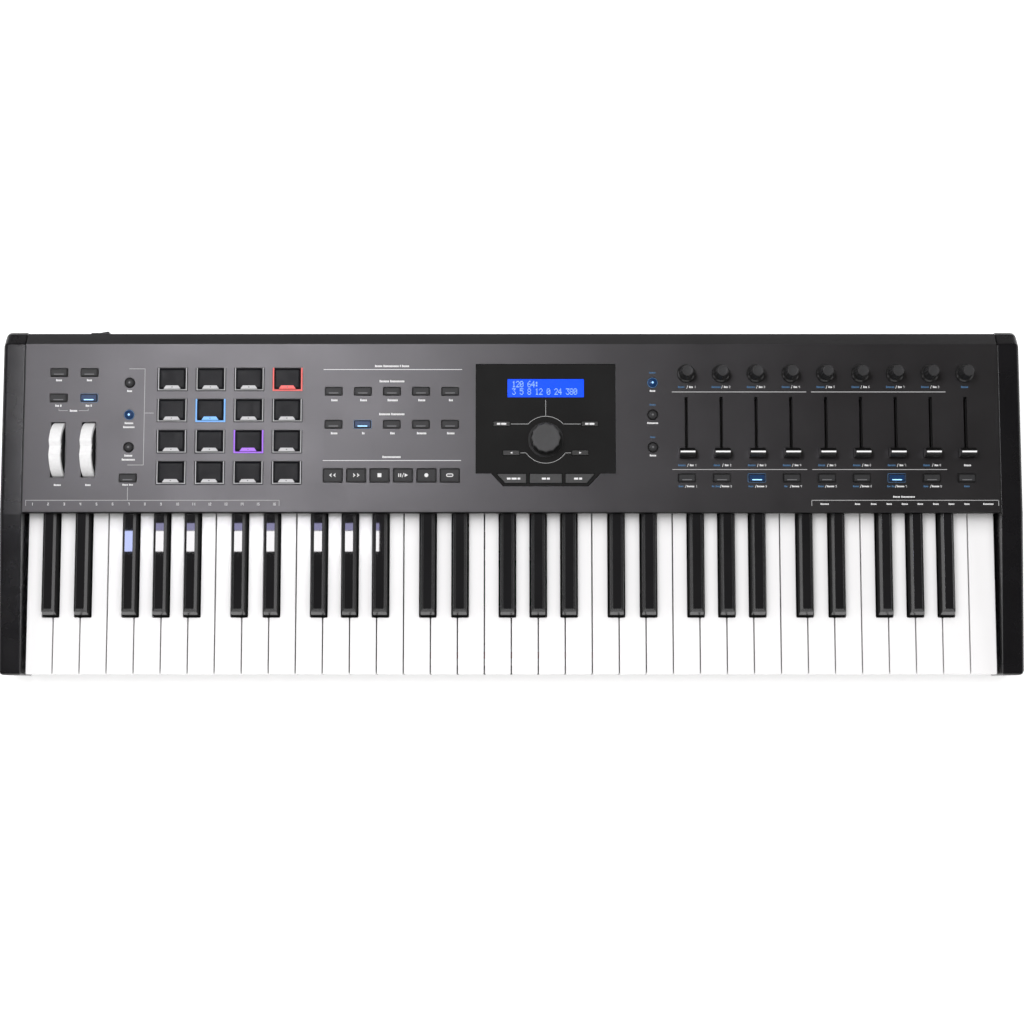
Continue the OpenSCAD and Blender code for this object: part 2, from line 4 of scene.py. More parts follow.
import bmesh
import bpy
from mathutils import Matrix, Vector


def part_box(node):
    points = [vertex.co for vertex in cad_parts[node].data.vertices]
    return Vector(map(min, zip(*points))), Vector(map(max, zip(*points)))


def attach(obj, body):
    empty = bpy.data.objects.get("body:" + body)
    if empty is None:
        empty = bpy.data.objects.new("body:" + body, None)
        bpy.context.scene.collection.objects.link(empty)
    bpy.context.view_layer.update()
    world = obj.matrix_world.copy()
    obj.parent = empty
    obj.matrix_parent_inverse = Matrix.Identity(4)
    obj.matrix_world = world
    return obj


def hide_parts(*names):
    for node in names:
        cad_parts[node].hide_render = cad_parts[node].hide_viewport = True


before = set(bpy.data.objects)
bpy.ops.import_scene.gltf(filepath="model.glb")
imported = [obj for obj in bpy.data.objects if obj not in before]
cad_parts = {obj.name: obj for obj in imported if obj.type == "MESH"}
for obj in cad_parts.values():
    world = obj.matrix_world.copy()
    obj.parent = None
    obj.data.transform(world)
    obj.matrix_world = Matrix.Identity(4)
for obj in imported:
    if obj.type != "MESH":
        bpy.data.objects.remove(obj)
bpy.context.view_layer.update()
MM = 0.001


# ---------- sizes shared with the CAD, in millimetres ----------

WHITE_COUNT = 36
PITCH = 164.5 / 7
KEYS_X0 = -WHITE_COUNT * PITCH / 2
KEY_GAP = 1.0
SLOT_W = 15.1
KEY_FRONT = -151.2
NOTCH_Y = -101.8
NECK_Y, TAIL_Y = 3.5, 17.0
UNDER_Z, LIP_Z, TAIL_Z, WHITE_Z = 24.0, 18.0, 39.0, 41.0
PIVOT_Y, PIVOT_Z = 12.0, 30.0
HAS_BLACK = [True, True, False, True, True, True, False]
BLACK_SHIFT = [-2.3, 2.3, 0, -3.4, 0, 3.4, 0]
NOTES = ["c", "d", "e", "f", "g", "a", "b"]
PANEL_Z = 58.0
PANEL_FRONT, CHAMFER_Y = -10.7, 136.7
SWITCH_X, SWITCH_Y, SWITCH_Z = -363.5, 143.1, 34.0
KEY_BORE = 3.05
WHEEL_BORE = 4.05


# ---------- reading the frame ----------

def node_box(node):
    """Lowest and highest corner of a CAD node, in mm."""
    lo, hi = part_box(node)
    return Vector(lo) / MM, Vector(hi) / MM


def islands(node):
    """(lowest, highest) corner of every separate solid of a CAD node, in mm."""
    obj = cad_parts[node]
    points = [tuple(round(c / MM, 3) for c in obj.matrix_world @ v.co) for v in obj.data.vertices]
    parent = {}

    def find(a):
        while parent.setdefault(a, a) != a:
            a = parent[a]
        return a

    for poly in obj.data.polygons:
        first = find(points[poly.vertices[0]])
        for i in poly.vertices[1:]:
            parent[find(points[i])] = first
    groups = {}
    for p in set(points):
        groups.setdefault(find(p), []).append(p)
    boxes = []
    for g in groups.values():
        boxes.append((Vector([min(p[i] for p in g) for i in range(3)]),
                      Vector([max(p[i] for p in g) for i in range(3)])))
    return sorted(boxes, key=lambda b: (-round(b[0].y), b[0].x))


def middle(b):
    """Centre of a box."""
    return (b[0] + b[1]) / 2


# ---------- materials ----------

def material(name, color, rough, metallic=0.0, coat=0.0, grain=0.0, grain_size=0.4, vary=0.0,
             vary_size=25.0, rough_vary=0.0, specular=0.5, coat_rough=0.05):
    """A procedural surface: grain is a fine bump, vary shifts the colour softly over the surface.
    Sizes are in mm."""
    m = bpy.data.materials.new(name)
    m.use_nodes = True
    nt = m.node_tree
    b = nt.nodes["Principled BSDF"]
    b.inputs["Base Color"].default_value = (*color, 1)
    b.inputs["Roughness"].default_value = rough
    b.inputs["Metallic"].default_value = metallic
    b.inputs["Coat Weight"].default_value = coat
    b.inputs["Coat Roughness"].default_value = coat_rough
    b.inputs["Specular IOR Level"].default_value = specular
    tc = nt.nodes.new("ShaderNodeTexCoord")
    if vary or rough_vary:
        n = nt.nodes.new("ShaderNodeTexNoise")
        n.inputs["Scale"].default_value = 1000.0 / vary_size
        n.inputs["Detail"].default_value = 4
        nt.links.new(tc.outputs["Object"], n.inputs["Vector"])
        if vary:
            ramp = nt.nodes.new("ShaderNodeMapRange")
            ramp.inputs["From Min"].default_value = 0.3
            ramp.inputs["From Max"].default_value = 0.7
            ramp.inputs["To Min"].default_value = 1 - vary
            ramp.inputs["To Max"].default_value = 1 + vary
            mix = nt.nodes.new("ShaderNodeVectorMath")
            mix.operation = "SCALE"
            mix.inputs[0].default_value = color
            nt.links.new(n.outputs["Fac"], ramp.inputs["Value"])
            nt.links.new(ramp.outputs["Result"], mix.inputs["Scale"])
            nt.links.new(mix.outputs["Vector"], b.inputs["Base Color"])
        if rough_vary:
            rr = nt.nodes.new("ShaderNodeMapRange")
            rr.inputs["From Min"].default_value = 0.3
            rr.inputs["From Max"].default_value = 0.7
            rr.inputs["To Min"].default_value = max(rough - rough_vary, 0.02)
            rr.inputs["To Max"].default_value = min(rough + rough_vary, 1.0)
            nt.links.new(n.outputs["Fac"], rr.inputs["Value"])
            nt.links.new(rr.outputs["Result"], b.inputs["Roughness"])
    if grain:
        g = nt.nodes.new("ShaderNodeTexNoise")
        g.inputs["Scale"].default_value = 1000.0 / grain_size
        g.inputs["Detail"].default_value = 2
        bump = nt.nodes.new("ShaderNodeBump")
        bump.inputs["Strength"].default_value = grain
        bump.inputs["Distance"].default_value = 0.0002
        nt.links.new(tc.outputs["Object"], g.inputs["Vector"])
        nt.links.new(g.outputs["Fac"], bump.inputs["Height"])
        nt.links.new(bump.outputs["Normal"], b.inputs["Normal"])
    return m


def lit(name, color, strength, rough=0.35):
    """A light guide or display that glows."""
    m = material(name, color, rough, vary=0.06, vary_size=3)
    b = m.node_tree.nodes["Principled BSDF"]
    b.inputs["Emission Color"].default_value = (*color, 1)
    b.inputs["Emission Strength"].default_value = strength
    return m


def fade_to_dark(m, axis, start, end, dark):
    """Paints shade into a material: a darker colour along one axis of the part, between two places in mm."""
    nt = m.node_tree
    b = nt.nodes["Principled BSDF"]
    tc = nt.nodes.new("ShaderNodeTexCoord")
    sep = nt.nodes.new("ShaderNodeSeparateXYZ")
    ramp = nt.nodes.new("ShaderNodeMapRange")
    ramp.inputs["From Min"].default_value = start * MM
    ramp.inputs["From Max"].default_value = end * MM
    mix = nt.nodes.new("ShaderNodeMix")
    mix.data_type = "RGBA"
    mix.inputs["B"].default_value = (*dark, 1)
    nt.links.new(tc.outputs["Object"], sep.inputs["Vector"])
    nt.links.new(sep.outputs[axis], ramp.inputs["Value"])
    nt.links.new(ramp.outputs["Result"], mix.inputs["Factor"])
    link = b.inputs["Base Color"].links[0]
    nt.links.new(link.from_socket, mix.inputs["A"])
    nt.links.new(mix.outputs["Result"], b.inputs["Base Color"])


PANEL = material("panel_paint", (0.148, 0.145, 0.150), 0.40, metallic=0.97, grain=0.10, grain_size=0.35,
                 vary=0.05, vary_size=60, rough_vary=0.03)
# painted shade: the nose is painted nearly black, and the slope at the back is painted darker than the flat
# top, a painted dark reflection
fade_to_dark(PANEL, "Y", PANEL_FRONT - 0.2, PANEL_FRONT - 0.7, (0.006, 0.006, 0.006))
fade_to_dark(PANEL, "Y", CHAMFER_Y - 0.3, CHAMFER_Y + 0.3, (0.092, 0.091, 0.094))
CHEEK = material("cheek_plastic", (0.0055, 0.0053, 0.0062), 0.27, grain=0.22, grain_size=0.5, vary=0.08,
                 vary_size=30, rough_vary=0.04, specular=0.68)
CASE = material("case_paint", (0.014, 0.014, 0.0145), 0.45, grain=0.2, grain_size=0.5, vary=0.08,
                vary_size=40)
STEEL = material("bare_steel", (0.52, 0.52, 0.54), 0.32, metallic=1.0, grain=0.12, grain_size=0.25,
                 vary=0.06, vary_size=12, rough_vary=0.08)
DARK_STEEL = material("dark_steel", (0.05, 0.05, 0.052), 0.35, metallic=0.8, grain=0.1, vary=0.1, vary_size=4)
BOARD = material("circuit_board", (0.02, 0.13, 0.06), 0.4, grain=0.2, vary=0.2, vary_size=8)
FELT = material("red_felt", (0.28, 0.04, 0.04), 0.95, grain=0.9, grain_size=0.6, vary=0.2, vary_size=2)
WHITE_KEY = material("white_key_plastic", (0.92, 0.915, 0.915), 0.17, coat=0.35, grain=0.015, grain_size=2.5,
                     vary=0.012, vary_size=120, rough_vary=0.03)
BLACK_KEY = material("black_key_plastic", (0.010, 0.010, 0.011), 0.015, coat=0.5, vary=0.15, vary_size=50,
                     specular=0.8, coat_rough=0.01)
# painted highlight and painted shade: the bevels of the black keys are painted lighter, and the lower sides
# darker and matte, than the tops, though all are the same plastic
BLACK_KEY_BEVEL_HIGHLIGHT = material("black_key_bevel_painted_highlight", (0.026, 0.026, 0.027), 0.22, coat=0.25, vary=0.1, vary_size=20,
                           specular=0.8)
BLACK_KEY_SIDE_SHADE = material("black_key_side_painted_shade", (0.003, 0.003, 0.003), 0.6, vary=0.15, vary_size=50,
                          specular=0.05)
GLOSS = material("window_gloss", (0.016, 0.016, 0.016), 0.035, coat=0.3, grain=0.003, grain_size=6,
                 vary=0.1, vary_size=40)
BLACK = material("black_plastic", (0.018, 0.018, 0.018), 0.4, grain=0.15, vary=0.12, vary_size=6)
RUBBER = material("foot_rubber", (0.02, 0.02, 0.02), 0.8, grain=0.4, vary=0.15, vary_size=5)
PAD = material("pad_rubber", (0.004, 0.0042, 0.0055), 0.36, grain=0.35, grain_size=0.35, vary=0.08,
               vary_size=9, rough_vary=0.05, specular=0.26)
PAD_LIGHT = material("pad_light_off", (0.50, 0.50, 0.51), 0.45, grain=0.05, vary=0.05, vary_size=4)
PAD_RIM = material("pad_rim", (0.012, 0.012, 0.013), 0.5, grain=0.1, vary=0.1, vary_size=5)
WHEEL = material("wheel_rubber", (0.80, 0.80, 0.80), 0.5, grain=0.5, grain_size=0.9, vary=0.04, vary_size=3)
WHEEL_SIDE = material("wheel_side", (0.02, 0.02, 0.021), 0.28, grain=0.05, vary=0.1, vary_size=12)
KNOB = material("knob_soft_touch", (0.014, 0.014, 0.0145), 0.5, grain=0.25, grain_size=0.4, vary=0.1,
                vary_size=5, rough_vary=0.05)
KNOB_SKIRT = material("knob_skirt", (0.012, 0.012, 0.012), 0.32, coat=0.15, grain=0.05, vary=0.1, vary_size=5)
KNOB_TOP = material("knob_top", (0.028, 0.028, 0.029), 0.45, grain=0.2, grain_size=0.35, vary=0.08,
                    vary_size=4)
KNOB_DISC = material("main_knob_top", (0.046, 0.046, 0.047), 0.45, grain=0.2, grain_size=0.35, vary=0.08,
                     vary_size=6)
FADER_LINE = material("fader_line", (0.92, 0.92, 0.92), 0.6, vary=0.02, vary_size=2)
FADER = material("fader_cap", (0.006, 0.006, 0.006), 0.3, coat=0.1, grain=0.08, vary=0.15, vary_size=5)
BUTTON = material("button_cap", (0.026, 0.026, 0.027), 0.5, grain=0.2, grain_size=0.35, vary=0.08,
                  vary_size=4)
BUTTON_RIM = material("button_rim", (0.010, 0.010, 0.010), 0.45, grain=0.1, vary=0.1, vary_size=4)
BUTTON_BAR = material("button_light_off", (0.13, 0.13, 0.135), 0.35, grain=0.05, vary=0.05, vary_size=2)
FLAT_BUTTON = material("screen_button", (0.045, 0.045, 0.045), 0.35, grain=0.1, vary=0.08, vary_size=5)
NAV_BUTTON = material("window_button", (0.032, 0.032, 0.031), 0.35, grain=0.1, vary=0.08, vary_size=5)
PRINT = material("white_print", (0.74, 0.74, 0.74), 0.6, grain=0.1, vary=0.05, vary_size=2)
PRINT_GREY = material("grey_print", (0.42, 0.42, 0.42), 0.6, grain=0.1, vary=0.05, vary_size=2)
PRINT_BLUE = material("blue_print", (0.055, 0.13, 0.24), 0.6, grain=0.1, vary=0.08, vary_size=2)
BLUE_GLOW = lit("blue_light", (0.30, 0.60, 1.0), 1.1)
BLUE_DIM = lit("blue_cap", (0.003, 0.026, 0.085), 0.1)
BLUE_RING = lit("blue_ring", (0.10, 0.22, 0.42), 0.2)
RED_GLOW = lit("red_light", (0.62, 0.085, 0.075), 0.4)
PALE_BLUE = lit("pad_blue_light", (0.13, 0.34, 0.72), 0.45)
PURPLE = lit("purple_light", (0.28, 0.10, 0.62), 0.45)
SCREEN = lit("screen_blue", (0.001, 0.058, 0.80), 0.5, rough=0.2)
PIXELS = lit("screen_pixels", (0.22, 0.38, 0.85), 0.62)


# ---------- mesh helpers (all in mm) ----------

def fillet(points, radii, steps=3):
    """A polygon's corners rounded; radii is one number or one for each corner."""
    if not isinstance(radii, (list, tuple)):
        radii = [radii] * len(points)
    out = []
    count = len(points)
    for i, p in enumerate(points):
        r = radii[i]
        a = Vector(points[i - 1]) - Vector(p)
        b = Vector(points[(i + 1) % count]) - Vector(p)
        if r <= 0:
            out.append(tuple(p))
            continue
        a.normalize()
        b.normalize()
        half = a.angle(b) / 2
        cut = r / math.tan(half)
        centre = Vector(p) + (a + b).normalized() * (r / math.sin(half))
        p0 = Vector(p) + a * cut
        p1 = Vector(p) + b * cut
        s = p0 - centre
        e = p1 - centre
        turn = s.angle_signed(e)
        for k in range(steps + 1):
            t = -turn * k / steps
            out.append((centre.x + s.x * math.cos(t) - s.y * math.sin(t),
                        centre.y + s.x * math.sin(t) + s.y * math.cos(t)))
    return out


def rect(cx, cy, w, d):
    """Corners of a rectangle, anticlockwise."""
    return [(cx - w / 2, cy - d / 2), (cx + w / 2, cy - d / 2),
            (cx + w / 2, cy + d / 2), (cx - w / 2, cy + d / 2)]


def circle(cx, cy, r, count=32):
    return [(cx + r * math.cos(2 * math.pi * i / count), cy + r * math.sin(2 * math.pi * i / count))
            for i in range(count)]


def inset(points, d):
    """An anticlockwise outline drawn in by d."""
    if d == 0:
        return list(points)
    out = []
    count = len(points)
    for i in range(count):
        p0, p1, p2 = Vector(points[i - 1]), Vector(points[i]), Vector(points[(i + 1) % count])
        e0 = (p1 - p0).normalized()
        e1 = (p2 - p1).normalized()
        n0, n1 = Vector((-e0.y, e0.x)), Vector((-e1.y, e1.x))
        n = n0 + n1
        q = p1 + n * (d / max(n.dot(n0), 0.2))
        out.append((q.x, q.y))
    return out


def rounded(points, radii, steps=3):
    """An outline with rounded corners, as a function of how far it is drawn in."""
    if not isinstance(radii, (list, tuple)):
        radii = [radii] * len(points)
    hollow = []
    for i, p in enumerate(points):
        a = Vector(p) - Vector(points[i - 1])
        b = Vector(points[(i + 1) % len(points)]) - Vector(p)
        hollow.append(a.x * b.y - a.y * b.x < 0)

    def draw(d):
        rs = [max(r + d if h else r - d, 0.04) for r, h in zip(radii, hollow)]
        return fillet(inset(points, d), rs, steps)

    return draw


def loft(bm, rings, index=0, close=True):
    """Skin through rings of equal length, closed at both ends. Rings run anticlockwise, bottom to top."""
    verts = [[bm.verts.new(Vector(p) * MM) for p in ring] for ring in rings]
    faces = []
    count = len(rings[0])
    for lower, upper in zip(verts, verts[1:]):
        for i in range(count):
            j = (i + 1) % count
            faces.append(bm.faces.new((lower[i], lower[j], upper[j], upper[i])))
    if close:
        faces.append(bm.faces.new(list(reversed(verts[0]))))
        faces.append(bm.faces.new(verts[-1]))
    for f in faces:
        f.material_index = index
    return faces


def slab(bm, outline, z0, z1, r=0.0, index=0, r_low=0.0, steps=3):
    """An outline raised from z0 to z1 with its top edge rounded by r and its lower edge by r_low."""
    draw = outline if callable(outline) else (lambda d: inset(outline, d))
    rings = []
    levels = []
    if r_low > 0:
        levels = [(z0 + r_low * (1 - math.cos(math.pi / 2 * k / steps)),
                   r_low * (1 - math.sin(math.pi / 2 * k / steps))) for k in range(steps + 1)]
    else:
        levels.append((z0, 0))
    if r > 0:
        for k in range(steps + 1):
            a = math.pi / 2 * k / steps
            levels.append((z1 - r + r * math.sin(a), r * (1 - math.cos(a))))
    else:
        levels.append((z1, 0))
    for z, d in levels:
        rings.append([(x, y, z) for x, y in draw(d)])
    return loft(bm, rings, index)


def box(bm, lo, hi, r=0.0, index=0):
    """An upright block between two corners, with its vertical and top edges rounded by r."""
    c = ((lo[0] + hi[0]) / 2, (lo[1] + hi[1]) / 2)
    pts = rect(c[0], c[1], hi[0] - lo[0], hi[1] - lo[1])
    if r > 0:
        pts = rounded(pts, r * 1.2)
    return slab(bm, pts, lo[2], hi[2], r, index)


def lathe(bm, cx, cy, profile, count=48, lobes=0, lobe_depth=0.0, index=0, index_of=None):
    """A turned shape about a vertical axis; profile is (radius, z, how much the ribs show)."""
    rings = []
    for r, z, k in profile:
        ring = []
        for i in range(count):
            a = 2 * math.pi * i / count
            rr = r
            if lobes:
                rr -= lobe_depth * k * math.sqrt(math.sin(lobes * a / 2) ** 2 + 0.004)
            ring.append((cx + rr * math.cos(a), cy + rr * math.sin(a), z))
        rings.append(ring)
    faces = loft(bm, rings, index)
    if index_of:
        for f in faces:
            f.material_index = index_of(f.calc_center_median() / MM)
    return faces


def tube_x(bm, x0, x1, y, z, outer, inner, index=0):
    """A plate x0 to x1 thick, its outline given by a function of angle, with a round hole."""
    count = 32
    rings = []
    for x, which in ((x0, outer), (x1, outer), (x1, None), (x0, None)):
        ring = []
        for i in range(count):
            a = 2 * math.pi * i / count
            r = inner if which is None else which(a)
            ring.append(bm.verts.new(Vector((x, y + r * math.cos(a), z + r * math.sin(a))) * MM))
        rings.append(ring)
    for k in range(4):
        low, high = rings[k], rings[(k + 1) % 4]
        for i in range(count):
            j = (i + 1) % count
            f = bm.faces.new((low[i], low[j], high[j], high[i]))
            f.material_index = index


def piece(name, bm, mats, body, replaces=(), angle=38):
    """Turns a bmesh into an object that rides on a body."""
    bmesh.ops.recalc_face_normals(bm, faces=bm.faces)
    me = bpy.data.meshes.new(name)
    bm.to_mesh(me)
    bm.free()
    for m in mats:
        me.materials.append(m)
    for p in me.polygons:
        p.use_smooth = True
    me.set_sharp_from_angle(angle=math.radians(angle))
    obj = bpy.data.objects.new(name, me)
    bpy.context.scene.collection.objects.link(obj)
    # large faces keep their own direction where they meet a rounded edge
    weighted = obj.modifiers.new("weighted", "WEIGHTED_NORMAL")
    weighted.keep_sharp = True
    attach(obj, body)
    if replaces:
        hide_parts(*replaces)
    return obj


def dress(node, mat):
    """Gives a CAD node that stays a better material."""
    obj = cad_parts[node]
    obj.data.materials.clear()
    obj.data.materials.append(mat)


# ---------- keys ----------

def white_x(k):
    return KEYS_X0 + PITCH * k


def tail_left(k):
    n = (k + 6) % 7
    return BLACK_SHIFT[n] + SLOT_W / 2 if k > 0 and HAS_BLACK[n] else KEY_GAP / 2


def tail_right(k):
    n = k % 7
    if k < WHITE_COUNT - 1 and HAS_BLACK[n]:
        return PITCH + BLACK_SHIFT[n] - SLOT_W / 2
    return PITCH - KEY_GAP / 2


def neck(bm, mid):
    """The end of a key that turns on the rod, with its bore."""
    lo_y, hi_y, lo_z, hi_z = NECK_Y, TAIL_Y, UNDER_Z, TAIL_Z

    def edge(a):
        c, s = math.cos(a), math.sin(a)
        ry = (hi_y - PIVOT_Y) / c if c > 1e-6 else (lo_y - PIVOT_Y) / c if c < -1e-6 else 1e9
        rz = (hi_z - PIVOT_Z) / s if s > 1e-6 else (lo_z - PIVOT_Z) / s if s < -1e-6 else 1e9
        return min(ry, rz)

    tube_x(bm, mid - 4.5, mid + 4.5, PIVOT_Y, PIVOT_Z, edge, KEY_BORE)


def white_key(bm, k):
    x = white_x(k)
    l, r = x + tail_left(k), x + tail_right(k)
    a, b = x + KEY_GAP / 2, x + PITCH - KEY_GAP / 2
    pts = [(a, KEY_FRONT), (b, KEY_FRONT)]
    rad = [1.1, 1.1]
    if r < b - 0.1:
        pts += [(b, NOTCH_Y), (r, NOTCH_Y)]
        rad += [0.9, 0.9]
    pts += [(r, NECK_Y), (l, NECK_Y)]
    rad += [0.5, 0.5]
    if l > a + 0.1:
        pts += [(l, NOTCH_Y), (a, NOTCH_Y)]
        rad += [0.9, 0.9]
    slab(bm, rounded(pts, rad), UNDER_Z, WHITE_Z, 0.7)
    # the lip hangs down at the front
    lip = rounded(rect((a + b) / 2, KEY_FRONT + 0.9, b - a, 1.8), [1.1, 1.1, 0, 0])
    slab(bm, lip, LIP_Z, UNDER_Z, r_low=0.4)
    neck(bm, x + (tail_left(k) + min(tail_right(k), tail_left(k) + 13.2)) / 2)


def black_key(bm, k):
    x = white_x(k + 1) + BLACK_SHIFT[k % 7]

    def ring(half, front, back, z, rad):
        return [(px, py, z) for px, py in fillet(
            [(x - half, front), (x + half, front), (x + half, back), (x - half, back)], [rad, rad, 0.4, 0.4])]

    loft(bm, [ring(6.7, -101, NECK_Y, UNDER_Z, 0.7), ring(6.7, -101, NECK_Y, TAIL_Z, 0.7)], 1)
    # the lower sides take the painted shade (index 1) and the bevels the painted highlight (index 2)
    body = loft(bm, [ring(6.7, -101, -2, TAIL_Z, 0.7), ring(6.7, -101, -2.3, WHITE_Z, 0.7),
                     ring(6.15, -99.6, -3.1, 46.2, 0.8), ring(5.75, -97.3, -3.6, 50.9, 0.9)], 1)
    faces = loft(bm, [ring(5.75, -97.3, -3.6, 50.9, 0.9), ring(5.6, -96.9, -3.65, 51.25, 0.9),
                      ring(3.85, -95.1, -3.95, 53.1, 0.9), ring(3.6, -94.8, -4.1, 53.42, 0.8),
                      ring(3.4, -94.5, -4.3, 53.5, 0.6)], 2)
    faces[-1].material_index = 0
    # the upper front faces take the painted highlight as well
    for f in body:
        f.normal_update()
        if abs(f.normal.y) > 0.6 and f.calc_center_median().z > 0.045 and f.calc_center_median().y < 0.02:
            f.material_index = 2
    neck(bm, x)


for n, note in enumerate(NOTES):
    bm = bmesh.new()
    for k in range(n, WHITE_COUNT, 7):
        white_key(bm, k)
    piece(note + "_key_set", bm, [WHITE_KEY], note + "_keys", [note + "_keys"])
    if HAS_BLACK[n]:
        bm = bmesh.new()
        for k in range(n, WHITE_COUNT - 1, 7):
            black_key(bm, k)
        piece(note + "_sharp_key_set", bm, [BLACK_KEY, BLACK_KEY_SIDE_SHADE, BLACK_KEY_BEVEL_HIGHLIGHT],
              note + "_sharp_keys", [note + "_sharp_keys"], angle=12)


# ---------- end cheeks ----------

def cheek(side):
    """side is -1 for the left cheek and 1 for the right."""
    name = "left_cheek" if side < 0 else "right_cheek"
    lo, hi = node_box(name)
    front, back, low = lo.y, hi.y, lo.z
    inner = min(abs(lo.x), abs(hi.x))
    outer = max(abs(lo.x), abs(hi.x))
    shape = [(front, low), (back, low), (back, 48.2), (146.8, 51), (CHAMFER_Y, PANEL_Z),
             (PANEL_FRONT - 2.3, PANEL_Z), (front, 48.5)]
    draw = rounded(shape, [3.0, 3.0, 1.2, 2, 3, 20, 2.8], steps=5)
    bm = bmesh.new()
    rings = []
    for x, d in ((inner, 0.9), (inner + 0.25, 0.3), (inner + 0.9, 0), (outer - 6, 0), (outer - 4.2, 0),
                 (outer - 2.6, 0), (outer - 1.3, 0.35), (outer - 0.4, 1.2), (outer, 2.6)):
        # the back corner is rounder than the rest, seen from above
        round_off = 6 - math.sqrt(36 - max(x - outer + 6, 0) ** 2) * 0.98 - 0.12
        shift = max(round_off, 0) * 0.6
        rings.append([(side * x, y - shift * max(y - 120, 0) / (back - 120)
                       + 0.8 * shift * max(-120 - y, 0) / (-120 - front), z) for y, z in draw(d)])
    loft(bm, rings)
    piece(name + "_shell", bm, [CHEEK], "case", [name], angle=30)


cheek(-1)
cheek(1)


# ---------- wheels ----------

def wheel(node, name):
    lo, hi = node_box(node)
    cx, cy = (lo.x + hi.x) / 2, (lo.y + hi.y) / 2
    r = (hi.y - lo.y) / 2
    cz = lo.z + r
    count = 180
    bm = bmesh.new()

    def radius(a):
        """Outline with the thumb notch of two flats at the crown."""
        c, s = math.cos(a), math.sin(a)
        if s < 0.85:
            return r
        reach = 0
        for (y0, z0), (y1, z1) in (((-10.1, r + 0.5), (1.7, r - 3.2)), ((1.7, r - 3.2), (9.6, r + 0.5))):
            dy, dz = y1 - y0, z1 - z0
            reach = max(reach, (y0 * dz - z0 * dy) / (c * dz - s * dy))
        return min(r, reach)

    rings = []
    half = (hi.x - lo.x) / 2
    for x, d in ((-half, 3.6), (-half + 0.25, 1.6), (-half, 1.2), (-half + 0.2, 0.45), (-half + 0.7, 0.1),
                 (-half + 1.3, 0), (half - 1.3, 0), (half - 0.7, 0.1), (half - 0.2, 0.45), (half, 1.2),
                 (half - 0.25, 1.6), (half, 3.6)):
        ring = []
        for i in range(count):
            a = 2 * math.pi * i / count
            rib = 0.12 * (i % 2) if abs(x) < half - 0.5 else 0
            q = radius(a) - d - rib
            ring.append((cx + x, cy + q * math.cos(a), cz + q * math.sin(a)))
        rings.append(ring)
    bore = []
    for x in (half, -half):
        bore.append([(cx + x, cy + WHEEL_BORE * math.cos(2 * math.pi * i / count),
                      cz + WHEEL_BORE * math.sin(2 * math.pi * i / count)) for i in range(count)])
    faces = loft(bm, rings + bore, close=False)
    verts = list(bm.verts)
    for i in range(count):
        j = (i + 1) % count
        faces.append(bm.faces.new((verts[-count + i], verts[-count + j], verts[j], verts[i])))
    for f in faces:
        c = f.calc_center_median() / MM
        rim = math.hypot(c.y - cy, c.z - cz)
        f.material_index = 0 if abs(c.x - cx) < half - 0.1 and rim > 20 or rim > radius(
            math.atan2(c.z - cz, c.y - cy) % (2 * math.pi)) - 0.9 else 1
    piece(name, bm, [WHEEL, WHEEL_SIDE], node, [node], angle=28)


wheel("pitch_wheel", "pitch_wheel_rim")
wheel("mod_wheel", "mod_wheel_rim")


# ---------- pads ----------

LIT_PADS = {3: 1, 5: 2, 10: 3}
bm = bmesh.new()
pad_boxes = islands("pads")
for lo, hi in pad_boxes:
    c = middle((lo, hi))
    draw = rounded(rect(c.x, c.y, hi.x - lo.x, hi.y - lo.y), 1.3)
    levels = [(lo.z, 0.0), (hi.z - 1.5, 0.0), (hi.z - 0.7, 0.25), (hi.z - 0.25, 0.8), (hi.z - 0.05, 1.8),
              (hi.z, 3.4)]
    loft(bm, [[(x, y, z) for x, y in draw(d)] for z, d in levels])
piece("pad_tops", bm, [PAD], "pads", ["pads"], angle=35)

bm = bmesh.new()
for i, (lo, hi) in enumerate(islands("pad_light_frames")):
    c = middle((lo, hi))
    w, d = hi.x - lo.x - 2.4, hi.y - lo.y - 2.4
    top = hi.z
    pad_lo, pad_hi = pad_boxes[i]
    glow = 1 + LIT_PADS.get(i, 0)
    x0, x1 = c.x - w / 2, c.x + w / 2
    y0, y1 = c.y - d / 2, c.y + d / 2
    a0, a1, b0 = pad_lo.x - 0.3, pad_hi.x + 0.3, pad_lo.y - 0.3
    # dark surround under the panel, then the light guide: two sides, the bottom and its tab
    for q in ((x0 - 1, y0 - 1, a0, y1 + 1), (a1, y0 - 1, x1 + 1, y1 + 1), (a0, y0 - 1, a1, b0),
              (a0, pad_hi.y + 0.3, a1, y1 + 1)):
        box(bm, (q[0], q[1], top - 3.9), (q[2], q[3], top - 2.4), index=0)
    box(bm, (a0, pad_hi.y + 0.3, top - 2.4), (a1, y1, top - 0.9), index=0)
    rim = 0.15 if glow > 1 else 0.65
    for q in ((x0 + rim, a0 + 0.2), (a1 - 0.2, x1 - rim)):
        box(bm, (q[0], b0 + 0.2, top - 2.4), (q[1], y1, top - 0.1), index=glow)
    box(bm, (x0 + rim, y0 + rim, top - 2.4), (x1 - rim, b0 + 0.2, top - 0.05), index=glow)
piece("pad_light_guides", bm, [PAD_RIM, PAD_LIGHT, RED_GLOW, PALE_BLUE, PURPLE], "case",
      ["pad_light_frames"])

